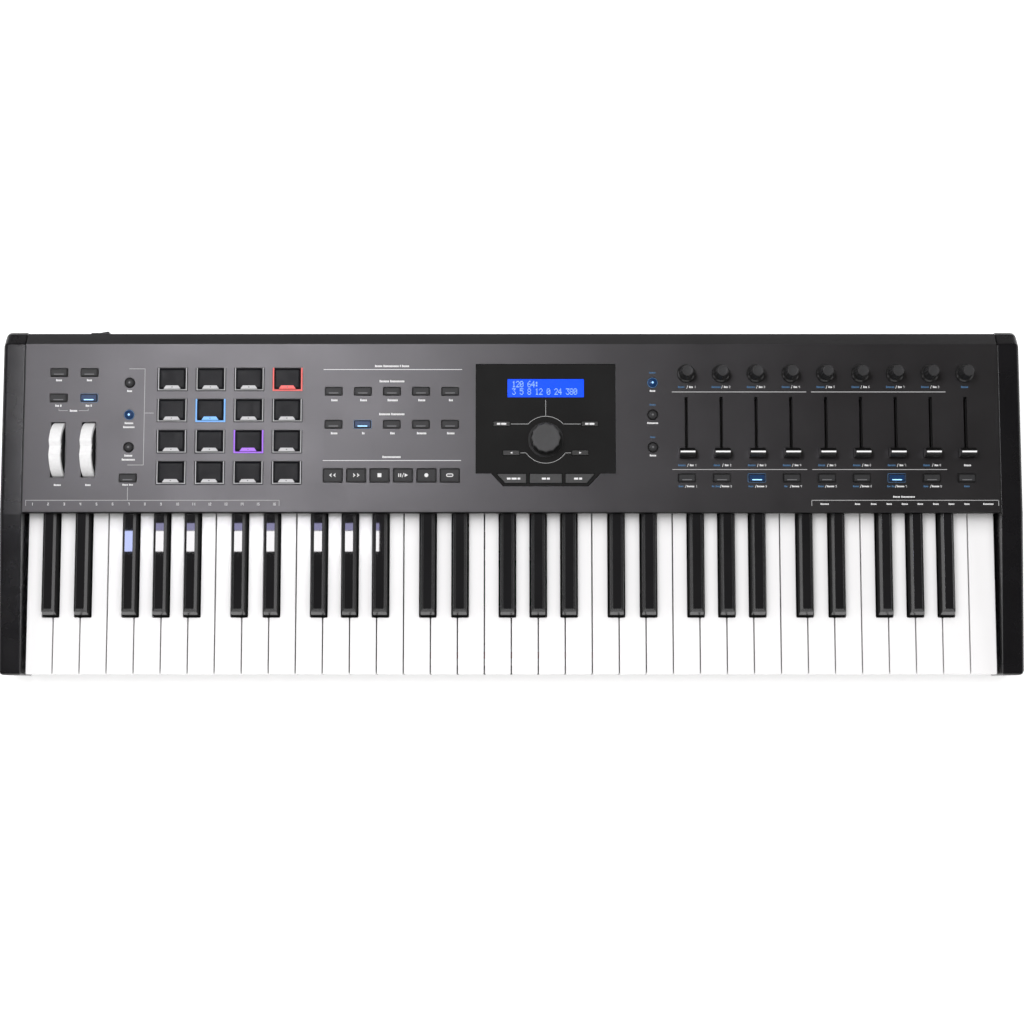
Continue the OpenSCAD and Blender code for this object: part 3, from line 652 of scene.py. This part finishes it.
# the light guide's tab laps on to each pad and moves with it
bm = bmesh.new()
for i, (lo, hi) in enumerate(pad_boxes):
    cx = (lo.x + hi.x) / 2
    y = lo.y + 0.15
    tab = [(cx - 7.5, y), (cx + 7.5, y), (cx + 5.4, y + 3.1), (cx - 5.4, y + 3.1)]
    slab(bm, rounded(tab, [0.3, 0.3, 0.9, 0.9]), hi.z - 1.2, hi.z + 0.02, 0.2, index=LIT_PADS.get(i, 0))
    mark = fillet(rect(cx, y + 1.6, 1.1, 0.9), 0.2)
    slab(bm, mark, hi.z, hi.z + 0.06, index=4)
piece("pad_tabs", bm, [PAD_LIGHT, RED_GLOW, PALE_BLUE, PURPLE, BUTTON_BAR], "pads")


# ---------- buttons ----------

LIT_BUTTONS = {"left_buttons": [3], "command_buttons": [6], "channel_buttons": [2, 6]}


def cap(bm, lo, hi, face_index, face_round=0.3):
    """A cap with a dark rim and a raised face; its size and centre come back."""
    c = middle((lo, hi))
    w, d = hi.x - lo.x - 2, hi.y - lo.y - 1.6
    z = hi.z
    slab(bm, fillet(rect(c.x, c.y, w + 2, d + 1.6), 0.5), PANEL_Z - 4.2, PANEL_Z - 2.8, index=0)
    draw = rounded(rect(c.x, c.y, w, d), 0.9)
    slab(bm, draw, lo.z, PANEL_Z - 4.2, index=0)
    rim = [(PANEL_Z - 2.8, 0), (z - 0.75, 0), (z - 0.45, 0.12), (z - 0.4, 0.5), (z - 0.6, 0.95)]
    loft(bm, [[(x, y, h) for x, y in draw(g)] for h, g in rim], index=0)
    slab(bm, rounded(rect(c.x, c.y, w - 1.9, d - 1.9), 0.5), z - 0.65, z - 0.02, face_round, index=face_index)
    return c, w, d


def bar_buttons(node, name):
    """Square-cornered caps, each with a light bar near its lower edge."""
    bm = bmesh.new()
    for i, (lo, hi) in enumerate(islands(node)):
        on = i in LIT_BUTTONS.get(node, [])
        c, w, d = cap(bm, lo, hi, 4 if on else 1)
        bar = fillet(rect(c.x, c.y - d * 0.24, w * 0.56, 0.85), 0.3)
        slab(bm, bar, hi.z - 0.1, hi.z + 0.03, index=3 if on else 2)
        if on:
            # thin glowing gap round the cap
            ring_slab(bm, rounded(rect(c.x, c.y, w, d), 0.9)(-0.3), rounded(rect(c.x, c.y, w, d), 0.9)(0),
                      PANEL_Z - 0.5, PANEL_Z - 0.05, 5)
    piece(name, bm, [BUTTON_RIM, BUTTON, BUTTON_BAR, BLUE_GLOW, BLUE_DIM, BLUE_RING], node,
          [node])


def ring_slab(bm, outer, inner, z0, z1, index):
    """A flat ring between two outlines with as many points as each other."""
    rings = [[bm.verts.new(Vector((x, y, z)) * MM) for x, y in pts]
             for pts, z in ((outer, z0), (outer, z1), (inset(inner, -0.02), z1), (inset(inner, -0.02), z0))]
    count = len(outer)
    for k in range(4):
        low, high = rings[k], rings[(k + 1) % 4]
        for i in range(count):
            j = (i + 1) % count
            bm.faces.new((low[i], low[j], high[j], high[i])).material_index = index


for node in ("left_buttons", "command_buttons", "channel_buttons"):
    bar_buttons(node, node.replace("buttons", "caps"))

# round buttons: domed caps with a light in the middle
bm = bmesh.new()
for i, (lo, hi) in enumerate(islands("round_buttons")):
    c = middle((lo, hi))
    r = (hi.x - lo.x) / 2 - 1.25
    z = hi.z
    on = (c.x < 0 and 60 < c.y < 90) or (c.x > 0 and c.y > 95)
    lathe(bm, c.x, c.y, [(r, lo.z, 0), (r, PANEL_Z - 4.2, 0)], 40, index=0)
    lathe(bm, c.x, c.y, [(r + 1.2, PANEL_Z - 4.2, 0), (r + 1.2, PANEL_Z - 2.8, 0)], 40, index=0)
    lathe(bm, c.x, c.y, [(r, PANEL_Z - 2.8, 0), (r, z - 1.3, 0), (r - 0.15, z - 0.95, 0),
                         (r - 0.5, z - 0.7, 0), (r - 0.9, z - 0.7, 0)], 40, index=3 if on else 0)
    lathe(bm, c.x, c.y, [(r - 0.8, z - 0.9, 0), (r - 1.0, z - 0.5, 0), (r - 1.8, z - 0.15, 0),
                         (r - 3.0, z, 0)], 40, index=3 if on else 1)
    lathe(bm, c.x, c.y, [(0.85, z - 0.05, 0), (0.8, z + 0.04, 0), (0.3, z + 0.06, 0)], 20,
          index=2 if on else 4)
    if on:
        ring_slab(bm, circle(c.x, c.y, r + 0.33, 40), circle(c.x, c.y, r + 0.02, 40), PANEL_Z - 0.5,
                  PANEL_Z - 0.05, 5)
piece("round_caps", bm, [BUTTON_RIM, BUTTON, BLUE_GLOW, BLUE_DIM, BUTTON_BAR, BLUE_RING], "round_buttons",
      ["round_buttons"])

# transport buttons with their usual signs
bm = bmesh.new()
transport = sorted(islands("transport_buttons"), key=lambda b: b[0].x)
for i, (lo, hi) in enumerate(transport):
    c = middle((lo, hi))
    cap(bm, lo, hi, 1, 0.35)
    top = hi.z - 0.03

    def sign(points):
        slab(bm, points, top, top + 0.05, index=2)

    def arrow(x, s):
        """A chevron pointing along s."""
        sign([(x + s * 1.3, c.y), (x - s * 0.8, c.y + 1.8), (x - s * 0.8, c.y + 0.65), (x, c.y),
              (x - s * 0.8, c.y - 0.65), (x - s * 0.8, c.y - 1.8)][::s])

    if i == 0:
        arrow(c.x - 1.7, -1)
        arrow(c.x + 1.7, -1)
    elif i == 1:
        arrow(c.x - 1.7, 1)
        arrow(c.x + 1.7, 1)
    elif i == 2:
        sign(rect(c.x, c.y, 3.4, 3.4))
    elif i == 3:
        sign(rect(c.x - 3.6, c.y, 0.8, 3))
        sign(rect(c.x - 1.9, c.y, 0.8, 3))
        sign([(c.x - 0.9, c.y - 2), (c.x - 0.4, c.y - 2), (c.x + 1.0, c.y + 2), (c.x + 0.5, c.y + 2)])
        sign([(c.x + 1.5, c.y - 1.6), (c.x + 4.4, c.y), (c.x + 1.5, c.y + 1.6)])
    elif i == 4:
        sign(circle(c.x, c.y, 1.75, 24))
    else:
        loop = fillet(rect(c.x, c.y, 6.2, 2.9), 1.4, 5)
        ring_slab(bm, loop, inset(loop, 0.75), top, top + 0.05, 2)
piece("transport_caps", bm, [BUTTON_RIM, BUTTON, PRINT], "transport_buttons",
      ["transport_buttons"])

# flat buttons of the screen
bm = bmesh.new()
screen_buttons = islands("screen_buttons")
for lo, hi in screen_buttons:
    c = middle((lo, hi))
    w, d = hi.x - lo.x, hi.y - lo.y
    z = hi.z
    if d < 5:
        outline = fillet(rect(c.x, c.y, w, d), 0.5)
        mode = False
    else:
        cut = 7.0
        left = cut if c.x < 10 else 0
        right = cut if c.x > 50 else 0
        outline = fillet([(lo.x + left, lo.y), (hi.x - right, lo.y), (hi.x, hi.y), (lo.x, hi.y)], 0.5)
        mode = True
    slab(bm, outline, lo.z, z - 0.05, 0.15, index=0 if mode else 3)
    if mode:
        bars = (3.2, 4.4, 2.4) if c.x < 10 else (3.6, 2.6)
        x = c.x - (sum(bars) + 0.8 * (len(bars) - 1)) / 2 + (1.8 if c.x < 10 else -1.8 if c.x > 50 else 0)
        for b in bars:
            slab(bm, fillet(rect(x + b / 2, c.y - 0.2, b, 1.7), 0.3), z - 0.06, z + 0.0, index=1)
            x += b + 0.8
    elif c.y > 55:
        x = c.x - 4.1
        for b in (3.0, 4.4):
            slab(bm, fillet(rect(x + b / 2, c.y, b, 1.6), 0.3), z - 0.06, z + 0.0, index=1)
            x += b + 0.7
    else:
        s = 1 if c.x > 30 else -1
        slab(bm, [(c.x - s * 0.9, c.y - 0.9 * s), (c.x + s * 1.1, c.y), (c.x - s * 0.9, c.y + 0.9 * s)],
             z - 0.06, z + 0.0, index=1)
piece("screen_caps", bm, [FLAT_BUTTON, PRINT, GLOSS, NAV_BUTTON], "screen_buttons",
      ["screen_buttons"])


# ---------- rotary knobs ----------

def small_knob(i):
    node = "knob_%d" % i
    lo, hi = node_box(node)
    cx, cy = (lo.x + hi.x) / 2, (lo.y + hi.y) / 2
    base, top = PANEL_Z + 0.6, hi.z
    bm = bmesh.new()
    lathe(bm, cx, cy, [(3, lo.z, 0), (3, base + 1.4, 0)], 32, index=2)
    profile = [(5.2, base + 1.4, 0), (5.2, base, 0), (7.85, base, 0), (8.08, base + 0.3, 0),
               (8.0, base + 0.8, 0), (7.6, base + 1.5, 0), (7.0, base + 2.1, 0), (6.5, base + 2.45, 0),
               (6.35, base + 2.6, 0), (6.3, base + 3.0, 0.3), (6.2, base + 3.6, 1), (4.95, top - 1.4, 1),
               (4.85, top - 0.7, 0.6), (4.7, top - 0.3, 0.1), (4.45, top - 0.08, 0), (4.1, top, 0),
               (3.7, top - 0.12, 0), (1.8, top - 0.2, 0)]
    lathe(bm, cx, cy, profile, 96, lobes=12, lobe_depth=0.45,
          index_of=lambda c: 1 if c.z > top - 0.35 else 3 if c.z < base + 2.5 else 0)
    piece("small_knob_%d" % i, bm, [KNOB, KNOB_TOP, STEEL, KNOB_SKIRT], node, [node],
          angle=35)


for i in range(1, 10):
    small_knob(i)

lo, hi = node_box("select_knob")
cx, cy = (lo.x + hi.x) / 2, (lo.y + hi.y) / 2
R = (hi.x - lo.x) / 2
bm = bmesh.new()
# a shallow step underneath clears the sensor's neck when the knob is pushed
profile = [(3.05, hi.z - 4.4, 0), (3.05, lo.z + 0.3, 0), (5.2, lo.z + 0.3, 0), (5.2, lo.z, 0),
           (R - 1.2, lo.z, 0), (R - 0.9, lo.z + 0.4, 0.5), (R - 0.9, lo.z + 1.2, 1), (12.95, hi.z - 2.4, 1),
           (12.85, hi.z - 1.0, 1), (12.65, hi.z - 0.45, 1), (12.25, hi.z - 0.12, 0.95), (11.7, hi.z, 0.85),
           (10.0, hi.z - 0.02, 0.3), (5.0, hi.z - 0.12, 0), (2.0, hi.z - 0.16, 0)]
lathe(bm, cx, cy, profile, 144, lobes=12, lobe_depth=0.85, index_of=lambda c: 1 if c.z > hi.z - 0.5 else 0)
piece("main_knob", bm, [KNOB, KNOB_DISC], "select_knob", ["select_knob"], angle=35)


# ---------- faders ----------

for node in ("faders_1_to_4", "faders_5_to_8", "master_fader"):
    bm = bmesh.new()
    for lo, hi in islands(node):
        c = middle((lo, hi))
        z0, z1 = PANEL_Z + 1.2, hi.z
        half = (hi.x - lo.x) / 2
        side = [(4.2, z0), (4.2, z0 + 1.5), (3.95, z0 + 6.6), (3.6, z0 + 7.4), (2.7, z1 - 2.4),
                (1.8, z1 - 0.8), (1.3, z1 - 0.28), (0.9, z1 - 0.16)]
        profile = [(y, z) for y, z in side] + [(-y, z) for y, z in reversed(side)]
        rings = []
        for x, g in ((-half, 0.35), (-half + 0.15, 0.1), (-half + 0.5, 0), (half - 0.5, 0),
                     (half - 0.15, 0.1), (half, 0.35)):
            rings.append([(c.x + x, c.y + y, z) for y, z in inset(profile, g)])
        loft(bm, rings, 0)
        slab(bm, rect(c.x, c.y, 1.4, 5), lo.z, PANEL_Z + 1.6, index=2)
        slab(bm, rect(c.x, c.y, 2 * half - 0.9, 1.35), z1 - 0.5, z1, index=1)
    piece(node.replace("fader", "fader_cap"), bm, [FADER, FADER_LINE, STEEL], node, [node],
          angle=25)


# ---------- power switch ----------

bm = bmesh.new()
draw = rounded([(-8, -2), (8, -2), (8, 7.8), (0, 7.1), (-8, 7.8)], [0.6, 0.6, 0.9, 4, 0.9], steps=4)
turn = math.radians(5)
rings = []
for z, d in ((-6.4, 0.5), (-6.25, 0.15), (-5.9, 0), (5.9, 0), (6.25, 0.15), (6.4, 0.5)):
    rings.append([(SWITCH_X + x * math.cos(turn) - y * math.sin(turn),
                   SWITCH_Y + x * math.sin(turn) + y * math.cos(turn), SWITCH_Z + z) for x, y in draw(d)])
loft(bm, rings, 0)
piece("power_rocker", bm, [BLACK], "power_switch", ["power_switch"], angle=30)


# ---------- printing on the panel ----------

SEGMENTS = {"0": "abcdef", "1": "bc", "2": "abged", "3": "abgcd", "4": "fgbc", "5": "afgcd", "6": "afgedc",
            "7": "abc", "8": "abcdefg", "9": "abcdfg"}


def digit(bm, ch, x, y, h, z, index=0, t=None):
    """A plain numeral drawn with straight strokes; x, y is its lower left corner."""
    w = h * 0.55
    t = t or h * 0.17
    m = h / 2
    strokes = {"a": (0, h - t, w, h), "g": (0, m - t / 2, w, m + t / 2), "d": (0, 0, w, t),
               "f": (0, m - t / 2, t, h), "b": (w - t, m - t / 2, w, h), "e": (0, 0, t, m + t / 2),
               "c": (w - t, 0, w, m + t / 2)}
    for s in SEGMENTS[ch]:
        a, b, c, d = strokes[s]
        slab(bm, rect(x + (a + c) / 2, y + (b + d) / 2, c - a, d - b), z - 0.05, z + 0.03, index=index)


def number(bm, text, cx, cy, h, z, index=0):
    """A number centred on a point."""
    step = h * 0.75
    x = cx - (step * (len(text) - 1) + h * 0.55) / 2
    for ch in text:
        digit(bm, ch, x, cy - h / 2, h, z, index)
        x += step


class Print:
    """Flat marks just above a surface."""

    def __init__(self, z):
        self.bm = bmesh.new()
        self.z = z

    def mark(self, points, index=0):
        slab(self.bm, points, self.z - 0.05, self.z + 0.03, index=index)

    def line(self, x0, y0, x1, y1, w=0.5, index=1):
        a, b = Vector((x0, y0)), Vector((x1, y1))
        d = (b - a).normalized() * (w / 2)
        n = Vector((-d.y, d.x))
        a, b = a - d, b + d
        self.mark([tuple(a - n), tuple(b - n), tuple(b + n), tuple(a + n)], index)

    def words(self, cx, cy, widths, h=1.5, gap=0.8, index=0):
        """A caption stood in for by letter-sized blocks; widths holds the width of each word."""
        x = cx - (sum(widths) + gap * (len(widths) - 1)) / 2
        for w in widths:
            count = max(1, round(w / 1.15))
            step = w / count
            for i in range(count):
                tall = h if i == 0 else h * 0.78
                self.mark(rect(x + step * (i + 0.45), cy - (h - tall) / 2, step * 0.8, tall), index)
            x += w + gap


p = Print(PANEL_Z)

# left block
left = islands("left_buttons")
for i, (lo, hi) in enumerate(left[:4]):
    c = middle((lo, hi))
    p.words(c.x, lo.y - 2.4, [(5.2,), (4.6,), (3.4, 1.4), (3.4, 1.4)][i], 1.9)
a, b = middle(left[2]), middle(left[3])
y = left[2][0].y - 6.8
p.line(a.x + 0.5, y + 1.6, a.x + 0.5, y, 0.4)
p.line(a.x + 0.5, y, a.x + 8, y, 0.4)
p.line(b.x - 8.5, y, b.x - 0.5, y, 0.4)
p.line(b.x - 0.5, y, b.x - 0.5, y + 1.6, 0.4)
p.words((a.x + b.x) / 2, y, (6.6,), 1.9)
for node, w in (("pitch_wheel", 6.2), ("mod_wheel", 4.8)):
    lo, hi = node_box(node)
    p.words((lo.x + hi.x) / 2, lo.y - 5.8, (w,), 1.7)
rounds = islands("round_buttons")
left_round = [b for b in rounds if b[0].x < 0]
right_round = [b for b in rounds if b[0].x > 0]
for i, b in enumerate(left_round):
    c = middle(b)
    p.words(c.x, b[0].y - 1.9, [(4.4,), (7.6,), (7.0,)][i], 1.8)
    if i:
        p.words(c.x, b[0].y - 5.4, [(), (10,), (11.5,)][i], 1.8)
top, low = left_round[0][1].y + 7.0, left_round[2][0].y - 10.2
bx = left_round[0][0].x + 18.5
p.line(bx - 13.6, top, bx, top, 0.5)
p.line(bx, top, bx, low, 0.5)
p.line(bx, low, bx - 13.6, low, 0.5)
p.line(bx, (top + low) / 2 + 3.3, bx + 8, (top + low) / 2 + 3.3, 0.5)
c = middle(left[4])
p.words(c.x, left[4][0].y - 1.5, (5.0, 3.4))
BOTTOM = -0.8
p.line(c.x, 10.2, c.x, BOTTOM, 0.5)
p.line(-421.5, BOTTOM, -201.5, BOTTOM, 0.5)
p.line(-421.5, BOTTOM, -421.5, BOTTOM - 4.6, 0.5)
p.line(-201.5, BOTTOM, -201.5, BOTTOM - 4.6, 0.5)
for i in range(16):
    number(p.bm, str(i + 1), -416.0 + 14.0 * i, BOTTOM - 3.3, 2.4, PANEL_Z)

# command block
cmd = islands("command_buttons")
x0, x1 = cmd[0][0].x - 0.2, cmd[4][1].x + 1.6
mid = middle(cmd[2]).x
p.line(x0, 114.1, x1, 114.1, 0.55, 0)
p.words(mid, 117.2, (6.5, 13.5, 1.0, 6.5), 1.9)
p.words(mid, 103.8, (8.4, 12.6), 2.0)
p.words(mid, 74.8, (9.8, 11.6), 2.0)
for i, (lo, hi) in enumerate(cmd):
    c = middle((lo, hi))
    wide = (5.6, 6.0, 9.0, 6.2, 3.6, 5.8, 2.4, 4.0, 8.4, 6.6)[i]
    p.words(c.x + 0.7, lo.y - 3.4, (wide,), 2.0)
p.line(x0, 34.0, x1 - 0.8, 34.0, 0.55, 0)
p.words(mid, 37.2, (16.0,), 1.9)

# right block
for i, b in enumerate(right_round):
    c = middle(b)
    p.words(c.x, b[1].y + 3.6, [(5.6,), (5.4,), (4.4,)][i], 1.5, index=2)
    p.words(c.x, b[0].y - 1.8, [(5.0,), (9.6,), (5.6,)][i], 1.7)


def pair(cx, y, blue, count):
    """A blue caption, a stroke and a white caption with its number."""
    p.words(cx - 4.2, y, blue, 1.8, index=2)
    p.line(cx + 0.6, y - 1.2, cx + 1.4, y + 1.2, 0.4, 0)
    p.words(cx + 4.3, y, (3.4,), 1.8)
    number(p.bm, str(count), cx + 7.6, y, 2.0, PANEL_Z)


knobs = [node_box("knob_%d" % i) for i in range(1, 10)]
chan = islands("channel_buttons")
for i, (lo, hi) in enumerate(knobs):
    cx = (lo.x + hi.x) / 2
    above, below = lo.y - 3.6, chan[i][0].y - 2.9
    if i == 8:
        # the last channel has one caption at each place
        p.words(cx, above, (6.4,), 1.8, index=2)
        p.words(cx + 1, 29.9, (6.2,), 1.8)
        p.words(cx, below, (4.8,), 1.6, index=2)
        break
    pair(cx, above, [(5.8,), (8.0,), (7.0,), (7.0,), (7.2,), (6.8,), (7.4,), (6.8,)][i], i + 1)
    pair(cx, 29.9, [(6.4,), (5.6,), (6.8,), (6.8,), (6.2,), (6.4,), (7.0,), (5.8,)][i], i + 1)
    p.words(cx - 5.2, below, [(4.2,), (2.4, 4.0), (4.4,), (2.8,), (5.0,), (5.2,), (3.0, 2.8), (4.2,)][i], 1.6,
            index=2)
    p.line(cx - 1.4, below - 1.1, cx - 0.6, below + 1.1, 0.4, 0)
    p.words(cx + 3.2, below, (6.4,), 1.6)
    number(p.bm, str(i + 1), cx + 8.0, below, 1.9, PANEL_Z)
xs = [(lo.x + hi.x) / 2 for lo, hi in knobs]
for a, b in ((0, 3), (4, 7)):
    p.line(xs[a] - 12.2, 94.3, xs[b] + 13.2, 94.3, 0.7, 1)
    p.line(xs[a] - 12.2, 26.1, xs[b] + 13.2, 26.1, 0.55, 1)
p.line(260.8, BOTTOM, 423.0, BOTTOM, 0.5)
p.line(260.8, BOTTOM, 260.8, BOTTOM - 4.6, 0.5)
p.line(423.0, BOTTOM, 423.0, BOTTOM - 4.6, 0.5)
p.words(341, BOTTOM + 3.1, (6.2, 12.0), 1.5)
for i, w in enumerate((7.4, 4.6, 5.0, 4.6, 5.4, 4.8, 5.0, 5.2, 4.6, 9.0)):
    x = (272, 300.5, 314.5, 328, 341.5, 355, 368.5, 382, 395.5, 414)[i]
    p.words(x, BOTTOM - 3.2, (w,), 1.5)
# dark strip at the seam between the panel and each cheek: painted shade of the groove there
for side in (-1, 1):
    cheek_lo, cheek_hi = node_box("left_cheek" if side < 0 else "right_cheek")
    edge = min(abs(cheek_lo.x), abs(cheek_hi.x))
    p.mark(rect(side * (edge - 0.5), 61.5, 1.0, 148), 3)
piece("panel_printing_and_shade", p.bm, [PRINT, PRINT_GREY, PRINT_BLUE, BUTTON_RIM], "case")


# ---------- screen ----------

TOP = node_box("display_window")[1].z
klo, khi = node_box("select_knob")
kx, ky = (klo.x + khi.x) / 2, (klo.y + khi.y) / 2
p = Print(TOP)
RING = 20.6


def arc(r, a0, a1, steps=40):
    """Points of an arc round the main knob, between two angles in degrees."""
    turns = [math.radians(a0 + (a1 - a0) * i / steps) for i in range(steps + 1)]
    return [(kx + r * math.cos(a), ky + r * math.sin(a)) for a in turns]


for a0, a1 in ((42, 138), (214, 326)):
    outer, inner = arc(RING + 0.2, a0, a1), arc(RING - 0.2, a0, a1)
    for i in range(len(outer) - 1):
        p.mark([inner[i], outer[i], outer[i + 1], inner[i + 1]], 1)
nav = [b for b in screen_buttons if b[1].y - b[0].y < 5]
for b in nav:
    c = middle(b)
    s = 1 if c.x < kx else -1
    edge = b[1].x if s > 0 else b[0].x
    reach = kx - s * math.sqrt(RING ** 2 - (c.y - ky) ** 2)
    p.line(edge + s * 1.2, c.y, reach, c.y, 0.4)
p.line(kx, ky + RING + 0.2, kx, 87.0, 0.4)
# dark flat ring round the knob: painted shade standing in for a shallow well
ring_slab(p.bm, circle(kx, ky, 15.4, 64), circle(kx, ky, 13.4, 64), TOP, TOP + 0.04, 2)
piece("screen_printing_and_shade", p.bm, [PRINT, PRINT_GREY, BUTTON_RIM], "case")

DOTS = {
    "0": "01110 10001 10011 10101 11001 10001 01110", "1": "00100 01100 00100 00100 00100 00100 01110",
    "2": "01110 10001 00001 00010 00100 01000 11111", "3": "11111 00010 00100 00010 00001 10001 01110",
    "4": "00010 00110 01010 10010 11111 00010 00010", "5": "11111 10000 11110 00001 00001 10001 01110",
    "6": "00110 01000 10000 11110 10001 10001 01110", "8": "01110 10001 10001 01110 10001 10001 01110",
    ":": "00000 01100 01100 00000 01100 01100 00000", " ": "00000 00000 00000 00000 00000 00000 00000",
}
lcd_lo, lcd_hi = node_box("display_module")
lcd_c = middle((lcd_lo, lcd_hi))
glass_w, glass_d = 66.7, 16.0
bm = bmesh.new()
slab(bm, fillet(rect(lcd_c.x, lcd_c.y, glass_w, glass_d), 0.4), lcd_hi.z - 1.4, lcd_hi.z, 0.1, index=0)
box(bm, (lcd_c.x - 40, lcd_c.y - 12, lcd_lo.z), (lcd_c.x + 40, lcd_c.y + 12, lcd_hi.z - 1.4), index=2)
dot = 0.62
for row, text in enumerate(("120 64:", "3 5 8 12 0 24 380")):
    for col, ch in enumerate(text):
        rows = DOTS[ch].split()
        for j, bits in enumerate(rows):
            for i, bit in enumerate(bits):
                if bit == "1":
                    x = lcd_c.x - glass_w / 2 + 4.4 + col * 3.35 + i * dot
                    y = lcd_c.y + 6.0 - row * 6.6 - j * 0.8
                    slab(bm, rect(x, y, dot * 0.88, 0.68), lcd_hi.z - 0.02, lcd_hi.z + 0.02, index=1)
piece("lcd_screen", bm, [SCREEN, PIXELS, BOARD], "case", ["display_module"])


# ---------- marks beside the sockets on the back ----------

bm = bmesh.new()
BACK = node_box("rear_panel")[1].y


def back_mark(x, z, w, h):
    """A small printed bar on the back panel."""
    rings = [[(u, y, v) for u, v in rect(x, z, w, h)] for y in (BACK - 0.05, BACK + 0.03)]
    loft(bm, rings, 0)


for node, words in (("midi_sockets", (5,)), ("cv_sockets", (3.4,)), ("pedal_sockets", (6, 4)),
                    ("usb_socket", (6,)), ("dc_inlet", (5,))):
    for lo, hi in islands(node):
        c = middle((lo, hi))
        x = c.x + (sum(words) + 0.8 * (len(words) - 1)) / 2
        for w in words:
            back_mark(x - w / 2, 42.5, w, 1.5)
            x -= w + 0.8
# on and off signs beside the switch
back_mark(SWITCH_X + 13.6, SWITCH_Z, 0.7, 4.4)
for i in range(20):
    a = 2 * math.pi * i / 20
    back_mark(SWITCH_X - 13.8 + 2.0 * math.cos(a), SWITCH_Z + 2.0 * math.sin(a), 0.75, 0.75)
piece("back_printing", bm, [PRINT], "case")


# ---------- CAD pieces that stay ----------

for node, mat in {
    "top_panel": PANEL, "bottom_case": CASE, "rear_panel": CASE, "display_window": GLOSS,
    "keybed_frame": STEEL, "key_pivot_rod": STEEL, "key_springs": STEEL, "encoder_bodies": STEEL,
    "wheel_bracket": STEEL, "usb_socket": STEEL, "select_shaft": STEEL, "case_screws": DARK_STEEL,
    "key_contact_board": BOARD, "control_board": BOARD, "key_stop_felts": FELT, "rubber_feet": RUBBER,
    "slide_pots": BLACK, "midi_sockets": BLACK, "pedal_sockets": BLACK, "cv_sockets": BLACK,
    "dc_inlet": BLACK,
}.items():
    dress(node, mat)


# ---------- stage, light, camera ----------

def area_light(name, where, aim, size, power, color=(1, 1, 1), glossy=True):
    data = bpy.data.lights.new(name, "AREA")
    data.shape = "RECTANGLE"
    data.size, data.size_y = size
    data.energy = power
    data.color = color
    obj = bpy.data.objects.new(name, data)
    bpy.context.scene.collection.objects.link(obj)
    obj.location = where
    direction = Vector(aim) - Vector(where)
    obj.rotation_euler = direction.to_track_quat("-Z", "Y").to_euler()
    obj.visible_glossy = glossy
    return obj


me = bpy.data.meshes.new("floor")
me.from_pydata([(-8, -8, 0), (8, -8, 0), (8, 8, 0), (-8, 8, 0)], [], [(0, 1, 2, 3)])
floor = bpy.data.objects.new("floor", me)
bpy.context.scene.collection.objects.link(floor)
FLOOR = material("floor_white", (0.92, 0.92, 0.92), 0.9, vary=0.01, vary_size=400)
FLOOR.node_tree.nodes["Principled BSDF"].inputs["Emission Color"].default_value = (1, 1, 1, 1)
FLOOR.node_tree.nodes["Principled BSDF"].inputs["Emission Strength"].default_value = 0.45
me.materials.append(FLOOR)

world = bpy.data.worlds.new("studio")
bpy.context.scene.world = world
world.use_nodes = True
world.node_tree.nodes["Background"].inputs["Color"].default_value = (1.0, 0.88, 0.82, 1)
world.node_tree.nodes["Background"].inputs["Strength"].default_value = 0.045

# a wide soft source that fills everything evenly without showing in gloss
area_light("fill_top", (0.0, 0.8, 3.1), (0, 0, 0), (4.5, 4.5), 134, glossy=False)
# the big soft source whose reflection brightens the left of the panel, and its lower edge, set off by a
# bar, which is what the black keys mirror
area_light("key_left", (-0.47, 0.479, 1.80), (-0.47, 0.479, 0.0), (0.46, 0.642), 7.2, (1.0, 0.985, 1.02))
area_light("key_edge", (-0.46, 0.1067, 1.80), (-0.46, 0.1067, 0.0), (0.44, 0.0374), 0.6, (1.0, 0.98, 1.0))
area_light("key_tint", (-0.46, 0.1329, 1.80), (-0.46, 0.1329, 0.0), (0.44, 0.013), 0.08, (0.62, 0.60, 1.0))
area_light("key_end", (-0.705, 0.1067, 1.80), (-0.705, 0.1067, 0.0), (0.05, 0.0374), 0.07, (0.55, 0.62, 1.0))
# low screens at the sides and the front, seen in the bevels of the black keys
area_light("screen_left", (-2.3, -0.1, 0.75), (0, -0.1, 0.2), (2.4, 1.3), 14)
area_light("screen_right", (2.3, -0.1, 0.75), (0, -0.1, 0.2), (2.4, 1.3), 14)
area_light("screen_front", (0.0, -2.4, 0.9), (0, 0, 0.2), (3.0, 1.4), 17)

cam_data = bpy.data.cameras.new("camera")
cam_data.sensor_width = 36
cam_data.lens = 36 * 1858 / 1024
cam_data.clip_end = 50
camera = bpy.data.objects.new("camera", cam_data)
bpy.context.scene.collection.objects.link(camera)
TILT = math.radians(5.57)
AIM = Vector((0.0006, -0.00935, 0.041))
camera.location = AIM + 1.6288 * Vector((0, -math.sin(TILT), math.cos(TILT)))
camera.rotation_euler = (TILT, 0, 0)
bpy.context.scene.camera = camera

bpy.context.scene.view_settings.view_transform = "Standard"
